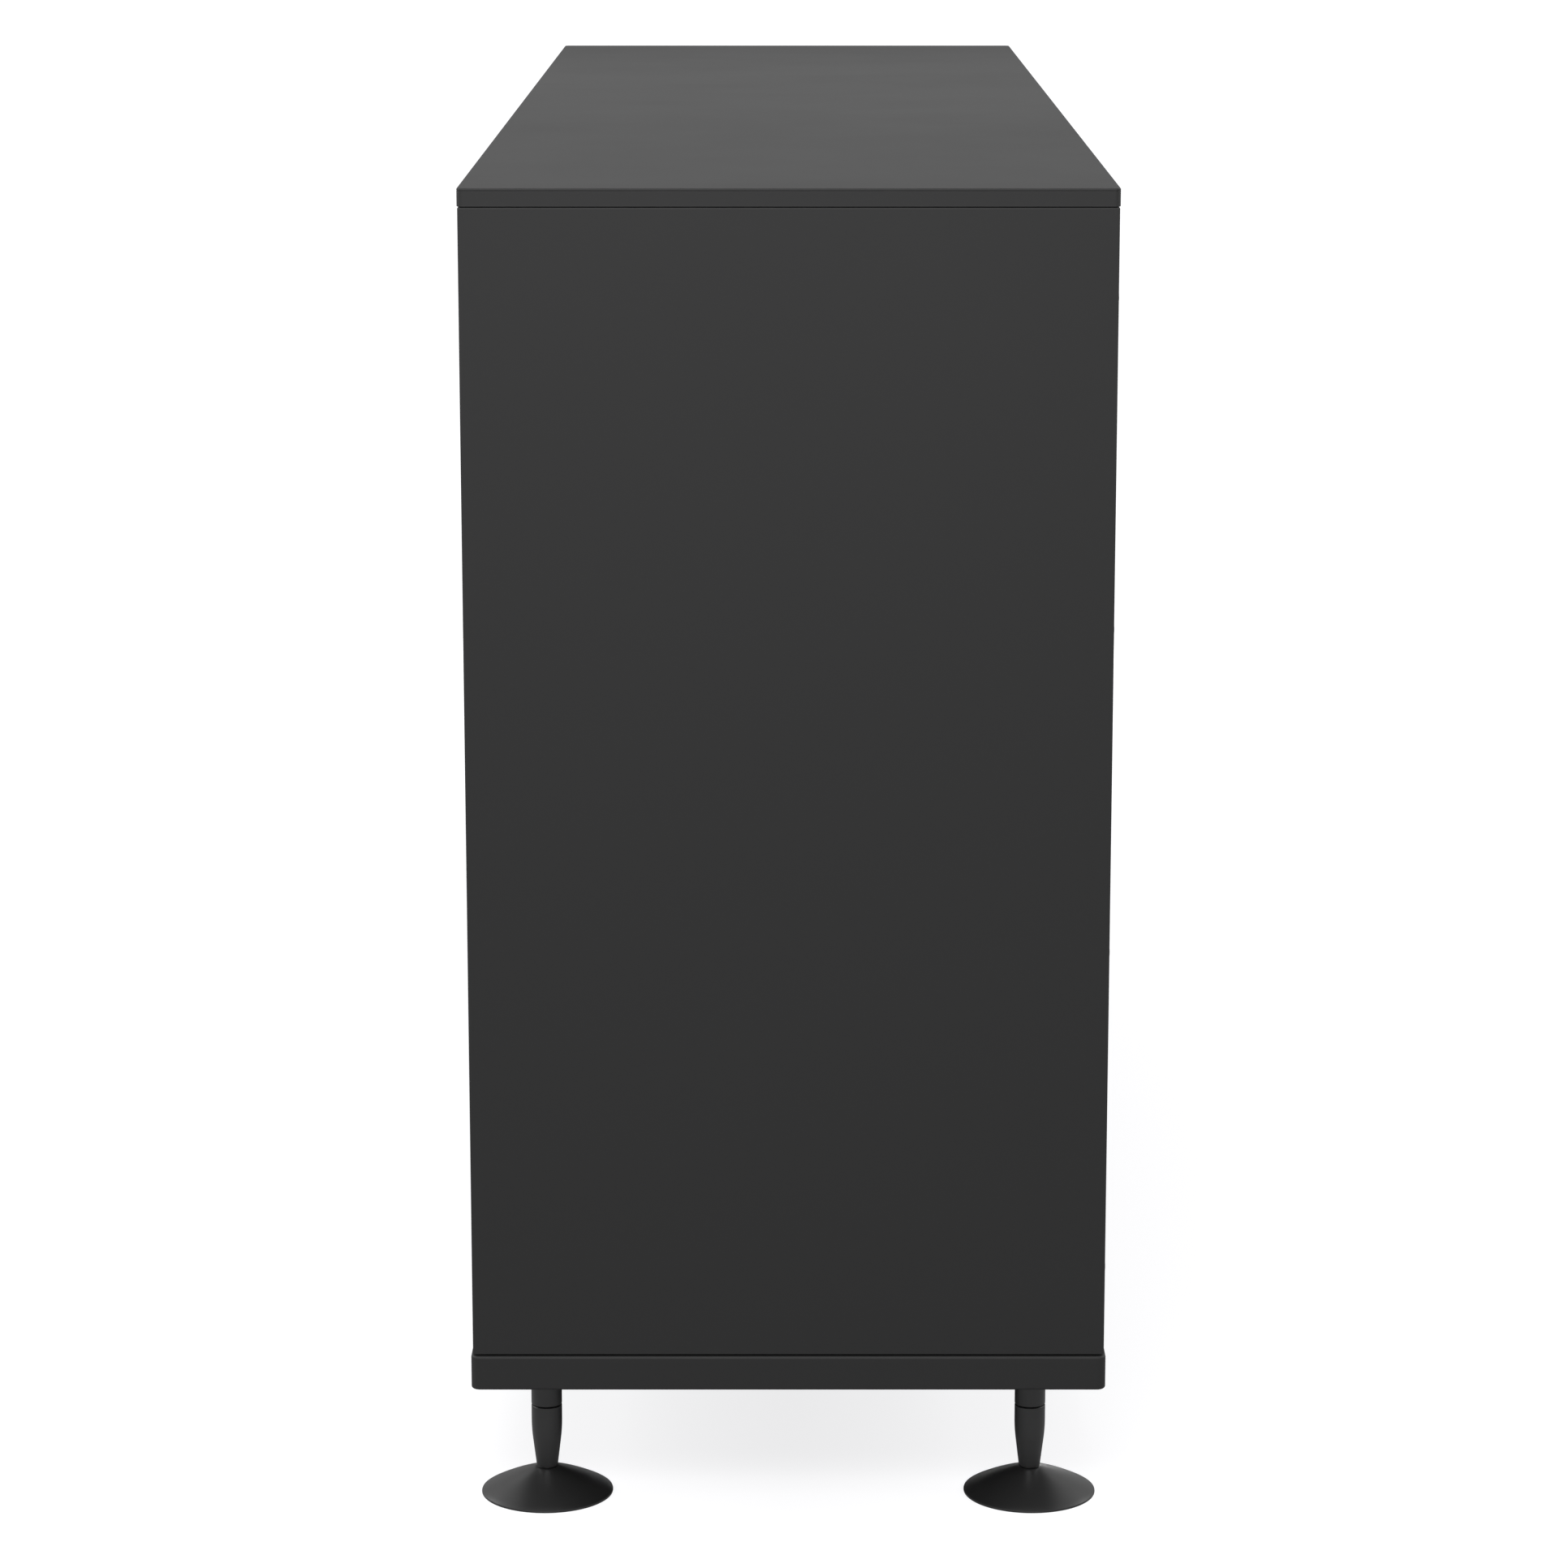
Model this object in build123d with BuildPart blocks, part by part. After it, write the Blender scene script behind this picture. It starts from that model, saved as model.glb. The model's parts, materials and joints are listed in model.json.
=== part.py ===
from build123d import *
import math
import os

# A six-drawer dresser on turned legs with wide disc feet.
# Row frame, millimetres: +Z up, X along the length, the drawers face -Y, and the origin is on the
# floor under the middle of the dresser.

# ---------------------------------------------------------------- carcass
BODY_LENGTH = 1597.0  # over the outer faces of the two end panels
BODY_DEPTH = 430.0  # front edge to rear edge of an end panel
BODY_HEIGHT = 781.0  # from the base board up to the top
PANEL_THICKNESS = 18.0  # end panels and centre divider
TOP_THICKNESS = 12.0
TOP_OVERHANG = 0.5  # past the end panels, all round
TOP_CORNER = 4.0  # corner radius seen from above
BASE_THICKNESS = 24.0
BASE_OVERHANG = 1.5
BASE_CORNER = 6.0
EDGE_EASE = 0.8  # radius that softens the edges of the top, the ends and the fronts
TOP_LOWER_EASE = 0.4
FACING_THICKNESS = 1.4  # sheet that faces the top
FACING_JOINT = 0.35  # height of the joint line under it, on the edges
FACING_JOINT_DEPTH = 0.4
BASE_EASE = 1.8
TOP_REVEAL = 0.5  # shadow gap between an end panel and the top
BASE_REVEAL = 0.9  # shadow gap between an end panel and the base board
REVEAL_DEPTH = 3.0

# ---------------------------------------------------------------- back
BACK_THICKNESS = 5.0
BACK_RECESS = 1.0  # the back sits this far inside the rear edges
REBATE_WIDTH = 9.0  # step in an end panel's rear edge that the back lies in
BACK_PLAY = 0.3  # free space round each back panel
STRIP_WIDTH = 17.0  # H-shaped strip that joins the two back panels
STRIP_WALL = 1.0
STRIP_WEB = 1.2
STRIP_PLAY = 0.1

# ---------------------------------------------------------------- drawers
ROWS = ("bottom", "middle", "top")
COLUMNS = ("left", "right")
FRONT_THICKNESS = 18.0
FRONT_SIDE_GAP = 2.5  # front to end panel
FRONT_MIDDLE_GAP = 3.0  # between the two fronts of a row
FRONT_FLOOR_GAP = 2.5  # lowest front to base board
GRIP_GAP = 18.0  # finger gap above each front
GRIP_BEVEL = 8.0  # slope on the rear top edge of a front, for the fingers
DIVIDER_SETBACK = 2.0  # divider's front edge behind the rear face of the fronts
BOX_WALL = 12.0
BOX_RISE = 14.0  # box above the lower edge of its front
BOX_DROP = 37.5  # box below the upper edge of its front
BOX_REAR_CLEARANCE = 26.0  # box to back panel
BOTTOM_THICKNESS = 4.0
BOTTOM_RISE = 10.0  # lower face of the bottom above the box's lower edge
GROOVE_DEPTH = 6.0
GROOVE_PLAY = 0.2

# ---------------------------------------------------------------- rails between the rows
RAIL_THICKNESS = 16.0
RAIL_DEPTH = 64.0
RAIL_SETBACK = 40.0  # rail behind the front plane of the dresser

# ---------------------------------------------------------------- three-part ball slides
RUNNER_SPACE = 12.5  # between cabinet wall and drawer box
RUNNER_HEIGHT = 45.0
RUNNER_STEEL = 1.2
RUNNER_PLAY = 0.3
RUNNER_STEP = 50.0  # slides come in lengths of this step
RUNNER_SETBACK = 2.0  # slide behind the rear face of the front
RUNNER_RISE = 60.0  # slide's centre line above the lower edge of the box
OUTER_LIP_SETBACK = 1.6  # outer flange stops this far short of the middle flange
WEB_SPACE = 1.4  # between the webs of the outer and middle members

# ---------------------------------------------------------------- legs
LEG_HEIGHT = 90.0  # floor to the underside of the base board
LEG_INSET = 49.0  # leg axis from the edges of the base board
LEG_RADIUS = 10.6
COLLAR_HEIGHT = 26.0
SEAM_BEVEL = 0.5
STRAIGHT_LENGTH = 11.0  # cylindrical length of the post under the seam
FLARE_LENGTH = 15.0  # curved length between the cylinder and the cone
FLARE_RADIUS = 115.0
TOE_RADIUS = 7.3  # lower end of the cone
TOE_ROUND = 1.8
DISC_RADIUS = 45.6
DISC_HEIGHT = 18.0
DISC_RIM = 1.6
DISC_NECK = 8.0  # radius of the flat that carries the post
DISC_CROWN = 1.05  # how far the slope bulges above a straight cone
SPIGOT_RADIUS = 4.0
SPIGOT_LENGTH = 9.5
SPIGOT_PLAY = 0.05
STUD_RADIUS = 4.0
STUD_BITE = 18.0  # in the base board
STUD_DROP = 30.0  # in the post
STUD_PLAY = 0.08
DRILL_PLAY = 0.5  # drilled depth past the end of a fastener

# ---------------------------------------------------------------- fasteners
HOLE_PLAY = 0.1  # radial, round dowels, bolts and screws
CAM_RADIUS = 7.5
CAM_HEIGHT = 12.5
CAM_SLOT_LENGTH = 9.0  # screwdriver slot across the cam's face
CAM_SLOT_WIDTH = 1.2
CAM_SLOT_DEPTH = 1.5
CAM_FROM_END = 24.0  # cam's axis from the end of the rail
CAM_SPACING = 32.0  # cam to dowel
CAM_BOLT_RADIUS = 3.4
CAM_NECK_RADIUS = 2.0
CAM_NECK_LENGTH = 3.0
CAM_HEAD_LENGTH = 2.5
PANEL_BITE = 8.0  # dowels and bolts in a panel's face
DOWEL_RADIUS = 4.0
DOWEL_IN_RAIL = 20.0
BASE_SCREW_LENGTH = 50.0
BASE_SCREW_RADIUS = 3.4
BASE_SCREW_HEAD = 5.0
BASE_SCREW_HEAD_HEIGHT = 3.0
BASE_SCREW_SOCKET = 2.3
BASE_SCREW_Y = 140.0
TOP_SCREW_RADIUS = 2.0
TOP_SCREW_HEAD = 4.0
TOP_SCREW_HEAD_HEIGHT = 2.4
TOP_SCREW_BITE = 6.0
TOP_SCREWS_PER_RAIL = 3
BACK_SCREW_RADIUS = 1.75
BACK_SCREW_HEAD = 3.5
BACK_SCREW_HEAD_HEIGHT = 1.0
BACK_SCREW_LENGTH = 16.0
BACK_SCREWS_PER_EDGE = 4
BACK_SCREWS_PER_RAIL = 3
SCREW_END_MARGIN = 60.0  # first and last screw from the end of the piece they hold

# ---------------------------------------------------------------- planes and limits worked out
END_X = BODY_LENGTH / 2  # outer face of an end panel
WALL_X = END_X - PANEL_THICKNESS  # its inner face
DIVIDER_X = PANEL_THICKNESS / 2
FRONT_Y = -BODY_DEPTH / 2
REAR_Y = BODY_DEPTH / 2
BASE_Z = LEG_HEIGHT
SHELF_Z = BASE_Z + BASE_THICKNESS  # upper face of the base board
CEILING_Z = SHELF_Z + BODY_HEIGHT  # underside of the top
BACK_Y = REAR_Y - BACK_RECESS - BACK_THICKNESS  # front face of the back panels
BEHIND_FRONT_Y = FRONT_Y + FRONT_THICKNESS
ROW_PITCH = (BODY_HEIGHT - FRONT_FLOOR_GAP) / len(ROWS)
FRONT_HEIGHT = ROW_PITCH - GRIP_GAP
BOX_HEIGHT = FRONT_HEIGHT - BOX_RISE - BOX_DROP
BOX_REAR_Y = BACK_Y - BOX_REAR_CLEARANCE
BOX_LENGTH = BOX_REAR_Y - BEHIND_FRONT_Y
RUNNER_LENGTH = RUNNER_STEP * math.floor((BOX_LENGTH - RUNNER_SETBACK) / RUNNER_STEP)
RUNNER_REAR_Y = BEHIND_FRONT_Y + RUNNER_SETBACK + RUNNER_LENGTH
SEAM_Z = LEG_HEIGHT - COLLAR_HEIGHT  # where the post meets the collar
RAIL_FRONT_Y = FRONT_Y + RAIL_SETBACK
BASE_HALF_LENGTH = END_X + BASE_OVERHANG
BASE_HALF_DEPTH = REAR_Y + BASE_OVERHANG
LEG_X = BASE_HALF_LENGTH - LEG_INSET
LEG_Y = BASE_HALF_DEPTH - LEG_INSET
LEG_PLACES = {
    "front_left": (-LEG_X, -LEG_Y),
    "front_right": (LEG_X, -LEG_Y),
    "rear_left": (-LEG_X, LEG_Y),
    "rear_right": (LEG_X, LEG_Y),
    "centre": (0.0, 0.0),
}
BASE_SCREW_PLACES = [
    (x, y)
    for x in (-(END_X + WALL_X) / 2, 0.0, (END_X + WALL_X) / 2)
    for y in (-BASE_SCREW_Y, BASE_SCREW_Y)
]
UPRIGHT = (Align.CENTER, Align.CENTER, Align.MIN)


# ---------------------------------------------------------------- small tools
def save(part, name):
    """Labels a finished piece and writes its STEP file."""
    part.label = name
    export_step(part, f"parts/{name}.step")


def block(x, y, z, mode=Mode.ADD):
    """Adds or cuts the box between three pairs of limits."""
    with Locations((sum(x) / 2, sum(y) / 2, sum(z) / 2)):
        Box(x[1] - x[0], y[1] - y[0], z[1] - z[0], mode=mode)


def rod_x(x, y, z, radius, mode=Mode.ADD):
    """Adds or cuts a round bar along X between the two limits in x."""
    with Locations((sum(x) / 2, y, z)):
        Cylinder(radius, abs(x[1] - x[0]), rotation=(0, 90, 0), mode=mode)


def rod_z(x, y, z, radius, mode=Mode.ADD):
    """Adds or cuts a round bar along Z between the two limits in z."""
    with Locations((x, y, sum(z) / 2)):
        Cylinder(radius, abs(z[1] - z[0]), mode=mode)


def rod_y(x, y, z, radius, mode=Mode.ADD):
    """Adds or cuts a round bar along Y between the two limits in y."""
    with Locations((x, sum(y) / 2, z)):
        Cylinder(radius, abs(y[1] - y[0]), rotation=(90, 0, 0), mode=mode)


def spread(low, high, count, margin):
    """Evenly spaced places between two ends, the outer ones a margin inside."""
    step = (high - low - 2 * margin) / (count - 1)
    return [low + margin + step * i for i in range(count)]


def bay(column):
    """Low and high X of the space between the end panel and the divider."""
    return (-WALL_X, -DIVIDER_X) if column == "left" else (DIVIDER_X, WALL_X)


def front_floor(row):
    """Height of the lower edge of a row's fronts."""
    return SHELF_Z + FRONT_FLOOR_GAP + ROWS.index(row) * ROW_PITCH


def grip_rail_floor(row):
    """Height of the underside of the rail in the finger gap above a row. The top one meets the top."""
    gap_floor = front_floor(row) + FRONT_HEIGHT
    spare = GRIP_GAP - RAIL_THICKNESS
    return gap_floor + (spare if row == ROWS[-1] else spare / 2)


def rails():
    """(x limits, y limits, z limits) of every rail: one behind each finger gap and two at the rear."""
    found = []
    for column in COLUMNS:
        for row in ROWS:
            z = grip_rail_floor(row)
            y = (RAIL_FRONT_Y, RAIL_FRONT_Y + RAIL_DEPTH)
            found.append((bay(column), y, (z, z + RAIL_THICKNESS)))
        y = (BACK_Y - RAIL_DEPTH, BACK_Y)
        found.append((bay(column), y, (CEILING_Z - RAIL_THICKNESS, CEILING_Z)))
    return found


def rail_ends():
    """(x of the end, +1 or -1 into the rail, y of the cam, y of the dowel, z limits) of every rail end."""
    for x, y, z in rails():
        middle = sum(y) / 2
        for end, inward in ((x[0], 1), (x[1], -1)):
            yield end, inward, middle - CAM_SPACING / 2, middle + CAM_SPACING / 2, z


def panel_face_holes(low, high):
    """Cuts the blind holes for cam bolts and dowels in the panel faces between two X limits."""
    for end, inward, cam_y, dowel_y, z in rail_ends():
        if low - HOLE_PLAY <= end <= high + HOLE_PLAY:
            depth = (end - inward * (PANEL_BITE + HOLE_PLAY), end)
            rod_x(depth, cam_y, sum(z) / 2, CAM_BOLT_RADIUS + HOLE_PLAY, Mode.SUBTRACT)
            rod_x(depth, dowel_y, sum(z) / 2, DOWEL_RADIUS + HOLE_PLAY, Mode.SUBTRACT)


def base_screw_holes(x):
    """Cuts the holes in the lower edge of an upright panel for the screws through the base board."""
    reach = BASE_Z + BASE_SCREW_LENGTH + DRILL_PLAY
    for y in (-BASE_SCREW_Y, BASE_SCREW_Y):
        rod_z(x, y, (SHELF_Z, reach), BASE_SCREW_RADIUS + HOLE_PLAY, Mode.SUBTRACT)


def top_screw_places():
    """(x, y) of the screws that go up through the upper rails into the top."""
    for x, y, z in rails():
        if abs(z[1] - CEILING_Z) < HOLE_PLAY:
            for place in spread(*x, TOP_SCREWS_PER_RAIL, SCREW_END_MARGIN):
                yield place, sum(y) / 2


def back_screw_places():
    """(x, z) of the screws through the back: into the end panels' rebates and the rear rails."""
    edge_x = WALL_X + REBATE_WIDTH / 2
    for x in (-edge_x, edge_x):
        for z in spread(SHELF_Z, CEILING_Z, BACK_SCREWS_PER_EDGE, SCREW_END_MARGIN):
            yield x, z
    for column in COLUMNS:
        for x in spread(*bay(column), BACK_SCREWS_PER_RAIL, 2 * SCREW_END_MARGIN):
            yield x, CEILING_Z - RAIL_THICKNESS / 2


def back_screw_holes(low, high, x_low, x_high):
    """Cuts holes for the back screws that fall between two X limits, from y low to y high."""
    for x, z in back_screw_places():
        if x_low < x < x_high:
            rod_y(x, (low, high), z, BACK_SCREW_RADIUS + HOLE_PLAY, Mode.SUBTRACT)


# ---------------------------------------------------------------- carcass boards
def slab(length, depth, z, corner):
    """A board with rounded corners in plan and eased edges, for the top and the base."""
    with BuildSketch(Plane.XY.offset(z[0])) as outline:
        RectangleRounded(length, depth, corner)
    extrude(outline.sketch, amount=z[1] - z[0])


def top_panel():
    """The thin top, with its facing's joint line and blind holes for the screws from the rails."""
    z = (CEILING_Z, CEILING_Z + TOP_THICKNESS)
    length, depth = BODY_LENGTH + 2 * TOP_OVERHANG, BODY_DEPTH + 2 * TOP_OVERHANG
    inner = (length - 2 * FACING_JOINT_DEPTH, depth - 2 * FACING_JOINT_DEPTH)
    with BuildPart() as top:
        slab(length, depth, z, TOP_CORNER)
        fillet(top.faces().sort_by(Axis.Z)[-1].edges(), EDGE_EASE)
        fillet(top.faces().sort_by(Axis.Z)[0].edges(), TOP_LOWER_EASE)
        with BuildSketch(Plane.XY.offset(z[1] - FACING_THICKNESS - FACING_JOINT)) as joint:
            RectangleRounded(length, depth, TOP_CORNER)
            RectangleRounded(*inner, TOP_CORNER - FACING_JOINT_DEPTH, mode=Mode.SUBTRACT)
        extrude(joint.sketch, amount=FACING_JOINT, mode=Mode.SUBTRACT)
        for x, y in top_screw_places():
            reach = (CEILING_Z, CEILING_Z + TOP_SCREW_BITE + DRILL_PLAY)
            rod_z(x, y, reach, TOP_SCREW_RADIUS + HOLE_PLAY, Mode.SUBTRACT)
    save(top.part, "top_panel")


def base_board():
    """The thick base, bored for the countersunk screws and the leg studs."""
    with BuildPart() as base:
        slab(2 * BASE_HALF_LENGTH, 2 * BASE_HALF_DEPTH, (BASE_Z, SHELF_Z), BASE_CORNER)
        fillet(base.faces().filter_by(Axis.Z).edges(), BASE_EASE)
        with Locations(*[(x, y, BASE_Z) for x, y in BASE_SCREW_PLACES]):
            Cylinder(BASE_SCREW_RADIUS + HOLE_PLAY, BASE_THICKNESS, align=UPRIGHT, mode=Mode.SUBTRACT)
            Cone(
                BASE_SCREW_HEAD + HOLE_PLAY,
                BASE_SCREW_RADIUS + HOLE_PLAY,
                BASE_SCREW_HEAD_HEIGHT,
                align=UPRIGHT,
                mode=Mode.SUBTRACT,
            )
        with Locations(*[(x, y, BASE_Z) for x, y in LEG_PLACES.values()]):
            Cylinder(
                STUD_RADIUS + HOLE_PLAY, STUD_BITE + DRILL_PLAY, align=UPRIGHT, mode=Mode.SUBTRACT
            )
    save(base.part, "base_board")


def end_panels():
    """The two full-depth ends. A narrower tongue leaves a shadow gap above and below each face."""
    for name, side in (("end_panel_left", -1), ("end_panel_right", 1)):
        x = sorted((side * WALL_X, side * END_X))
        tongue = sorted((side * WALL_X, side * (END_X - REVEAL_DEPTH)))
        rebate = sorted((side * WALL_X, side * (WALL_X + REBATE_WIDTH)))
        with BuildPart() as panel:
            block(x, (FRONT_Y, REAR_Y), (SHELF_Z + BASE_REVEAL, CEILING_Z - TOP_REVEAL))
            fillet(panel.edges(), EDGE_EASE)
            block(tongue, (FRONT_Y + REVEAL_DEPTH, REAR_Y - REVEAL_DEPTH), (SHELF_Z, CEILING_Z))
            block(rebate, (BACK_Y, REAR_Y), (SHELF_Z, CEILING_Z), Mode.SUBTRACT)
            panel_face_holes(*x)
            base_screw_holes(sum(x) / 2)
            back_reach = REAR_Y - BACK_RECESS - BACK_SCREW_LENGTH - DRILL_PLAY
            back_screw_holes(back_reach, BACK_Y, *x)
        save(panel.part, name)


def centre_divider():
    """The upright between the two columns, behind the fronts and in front of the joint strip."""
    front = BEHIND_FRONT_Y + DIVIDER_SETBACK
    rear = BACK_Y - STRIP_PLAY - STRIP_WALL
    with BuildPart() as divider:
        block((-DIVIDER_X, DIVIDER_X), (front, rear), (SHELF_Z, CEILING_Z))
        panel_face_holes(-DIVIDER_X, DIVIDER_X)
        base_screw_holes(0.0)
    save(divider.part, "centre_divider")


def back_panels():
    """Two thin back panels that meet in the joint strip behind the divider."""
    inner = STRIP_WEB / 2 + BACK_PLAY
    outer = WALL_X + REBATE_WIDTH - BACK_PLAY
    for name, x in (("back_panel_left", (-outer, -inner)), ("back_panel_right", (inner, outer))):
        with BuildPart() as back:
            block(x, (BACK_Y, BACK_Y + BACK_THICKNESS), (SHELF_Z, CEILING_Z - BACK_PLAY))
            back_screw_holes(BACK_Y, BACK_Y + BACK_THICKNESS, *x)
        save(back.part, name)


def back_joint_strip():
    """The H-shaped strip that holds the meeting edges of the two back panels."""
    slot = (BACK_Y - STRIP_PLAY, BACK_Y + BACK_THICKNESS + STRIP_PLAY)
    z = (SHELF_Z, CEILING_Z - BACK_PLAY)
    flange = (-STRIP_WIDTH / 2, STRIP_WIDTH / 2)
    with BuildPart() as strip:
        block((-STRIP_WEB / 2, STRIP_WEB / 2), slot, z)
        block(flange, (slot[0] - STRIP_WALL, slot[0]), z)
        block(flange, (slot[1], slot[1] + STRIP_WALL), z)
    save(strip.part, "back_joint_strip")


# ---------------------------------------------------------------- rails and their fittings
def rail_group(name, chosen):
    """Rails with their end holes, cam pockets and, under the top, screw holes."""
    with BuildPart() as group:
        for x, y, z in chosen:
            block(x, y, z)
        for end, inward, cam_y, dowel_y, z in rail_ends():
            middle = sum(z) / 2
            cam_x = end + inward * CAM_FROM_END
            dowel_end = end + inward * (DOWEL_IN_RAIL + DRILL_PLAY)
            rod_x((end, cam_x), cam_y, middle, CAM_BOLT_RADIUS + HOLE_PLAY, Mode.SUBTRACT)
            rod_x((end, dowel_end), dowel_y, middle, DOWEL_RADIUS + HOLE_PLAY, Mode.SUBTRACT)
            pocket = (z[0], z[0] + CAM_HEIGHT)
            rod_z(cam_x, cam_y, pocket, CAM_RADIUS, Mode.SUBTRACT)
        for x, y in top_screw_places():
            through = (CEILING_Z - RAIL_THICKNESS, CEILING_Z)
            rod_z(x, y, through, TOP_SCREW_RADIUS + HOLE_PLAY, Mode.SUBTRACT)
            sink = (through[0], through[0] + TOP_SCREW_HEAD_HEIGHT)
            rod_z(x, y, sink, TOP_SCREW_HEAD + HOLE_PLAY, Mode.SUBTRACT)
        for x, z in back_screw_places():
            if abs(x) < WALL_X:
                reach = BACK_Y + BACK_THICKNESS - BACK_SCREW_LENGTH - DRILL_PLAY
                rod_y(x, (reach, BACK_Y), z, BACK_SCREW_RADIUS + HOLE_PLAY, Mode.SUBTRACT)
    save(group.part, name)


def rail_boards():
    """The six rails behind the finger gaps and the two rear rails under the top."""
    rear = [rail for rail in rails() if rail[1][1] == BACK_Y]
    rail_group("grip_rails", [rail for rail in rails() if rail not in rear])
    rail_group("rear_top_rails", rear)


def cam_fittings():
    """Cam locks, their bolts and the dowels, one of each at every rail end."""
    with BuildPart() as locks:
        for end, inward, cam_y, _, z in rail_ends():
            cam_x = end + inward * CAM_FROM_END
            mouth = cam_x - inward * CAM_RADIUS
            inner = cam_x + inward * (CAM_HEAD_LENGTH + HOLE_PLAY)
            rod_z(cam_x, cam_y, (z[0], z[0] + CAM_HEIGHT - HOLE_PLAY), CAM_RADIUS - HOLE_PLAY)
            bore = CAM_BOLT_RADIUS + HOLE_PLAY
            rod_x((mouth, inner), cam_y, sum(z) / 2, bore, Mode.SUBTRACT)
            slot_x = (cam_x - CAM_SLOT_LENGTH / 2, cam_x + CAM_SLOT_LENGTH / 2)
            slot_y = (cam_y - CAM_SLOT_WIDTH / 2, cam_y + CAM_SLOT_WIDTH / 2)
            block(slot_x, slot_y, (z[0], z[0] + CAM_SLOT_DEPTH), Mode.SUBTRACT)
    save(locks.part, "rail_cam_locks")

    with BuildPart() as bolts:
        for end, inward, cam_y, _, z in rail_ends():
            middle = sum(z) / 2
            start = end - inward * PANEL_BITE
            head = end + inward * (CAM_FROM_END + CAM_HEAD_LENGTH)
            neck = head - inward * CAM_HEAD_LENGTH
            shank = neck - inward * CAM_NECK_LENGTH
            rod_x((start, shank), cam_y, middle, CAM_BOLT_RADIUS)
            rod_x((shank, neck), cam_y, middle, CAM_NECK_RADIUS)
            rod_x((neck, head), cam_y, middle, CAM_BOLT_RADIUS)
    save(bolts.part, "rail_cam_bolts")

    with BuildPart() as dowels:
        for end, inward, _, dowel_y, z in rail_ends():
            reach = (end - inward * PANEL_BITE, end + inward * DOWEL_IN_RAIL)
            rod_x(reach, dowel_y, sum(z) / 2, DOWEL_RADIUS)
    save(dowels.part, "rail_dowels")


def screws():
    """Screws through the base, up into the top, and through the back."""
    with BuildPart() as base_screws:
        with Locations(*[(x, y, BASE_Z) for x, y in BASE_SCREW_PLACES]):
            Cone(BASE_SCREW_HEAD, BASE_SCREW_RADIUS, BASE_SCREW_HEAD_HEIGHT, align=UPRIGHT)
            Cylinder(BASE_SCREW_RADIUS, BASE_SCREW_LENGTH, align=UPRIGHT)
        with BuildSketch(Plane.XY.offset(BASE_Z)):
            with Locations(*BASE_SCREW_PLACES):
                RegularPolygon(BASE_SCREW_SOCKET, 6)
        extrude(amount=BASE_SCREW_HEAD_HEIGHT, mode=Mode.SUBTRACT)
    save(base_screws.part, "base_screws")

    under = CEILING_Z - RAIL_THICKNESS
    with BuildPart() as top_screws:
        with Locations(*[(x, y, under) for x, y in top_screw_places()]):
            Cylinder(TOP_SCREW_HEAD, TOP_SCREW_HEAD_HEIGHT, align=UPRIGHT)
            Cylinder(TOP_SCREW_RADIUS, RAIL_THICKNESS + TOP_SCREW_BITE, align=UPRIGHT)
    save(top_screws.part, "top_screws")

    face = BACK_Y + BACK_THICKNESS
    with BuildPart() as back_screws:
        for x, z in back_screw_places():
            rod_y(x, (face - BACK_SCREW_LENGTH, face), z, BACK_SCREW_RADIUS)
            rod_y(x, (face, face + BACK_SCREW_HEAD_HEIGHT), z, BACK_SCREW_HEAD)
    save(back_screws.part, "back_screws")


# ---------------------------------------------------------------- legs
def post_outline():
    """Half section of a post: spigot, toe, cone, flare and cylinder, up to the seam."""
    cylinder_floor = SEAM_Z - STRAIGHT_LENGTH
    flare_floor = cylinder_floor - FLARE_LENGTH
    flare_x = LEG_RADIUS - FLARE_RADIUS + math.sqrt(FLARE_RADIUS**2 - FLARE_LENGTH**2)
    spigot_floor = DISC_HEIGHT - SPIGOT_LENGTH
    Polyline(
        (0, SEAM_Z),
        (0, spigot_floor),
        (SPIGOT_RADIUS, spigot_floor),
        (SPIGOT_RADIUS, DISC_HEIGHT),
        (TOE_RADIUS - TOE_ROUND, DISC_HEIGHT),
    )
    RadiusArc(
        (TOE_RADIUS - TOE_ROUND, DISC_HEIGHT), (TOE_RADIUS, DISC_HEIGHT + TOE_ROUND), -TOE_ROUND
    )
    Line((TOE_RADIUS, DISC_HEIGHT + TOE_ROUND), (flare_x, flare_floor))
    RadiusArc((flare_x, flare_floor), (LEG_RADIUS, cylinder_floor), -FLARE_RADIUS)
    Polyline(
        (LEG_RADIUS, cylinder_floor),
        (LEG_RADIUS, SEAM_Z - SEAM_BEVEL),
        (LEG_RADIUS - SEAM_BEVEL, SEAM_Z),
        (0, SEAM_Z),
    )


def disc_outline():
    """Half section of a disc foot: flat sole, low rim and a gently crowned slope up to the neck."""
    bore = SPIGOT_RADIUS + SPIGOT_PLAY
    bore_floor = DISC_HEIGHT - SPIGOT_LENGTH - DRILL_PLAY
    rim, neck = (DISC_RADIUS, DISC_RIM), (DISC_NECK, DISC_HEIGHT)
    Polyline(neck, (bore, DISC_HEIGHT), (bore, bore_floor), (0, bore_floor), (0, 0), (DISC_RADIUS, 0), rim)
    SagittaArc(rim, neck, DISC_CROWN)


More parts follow.
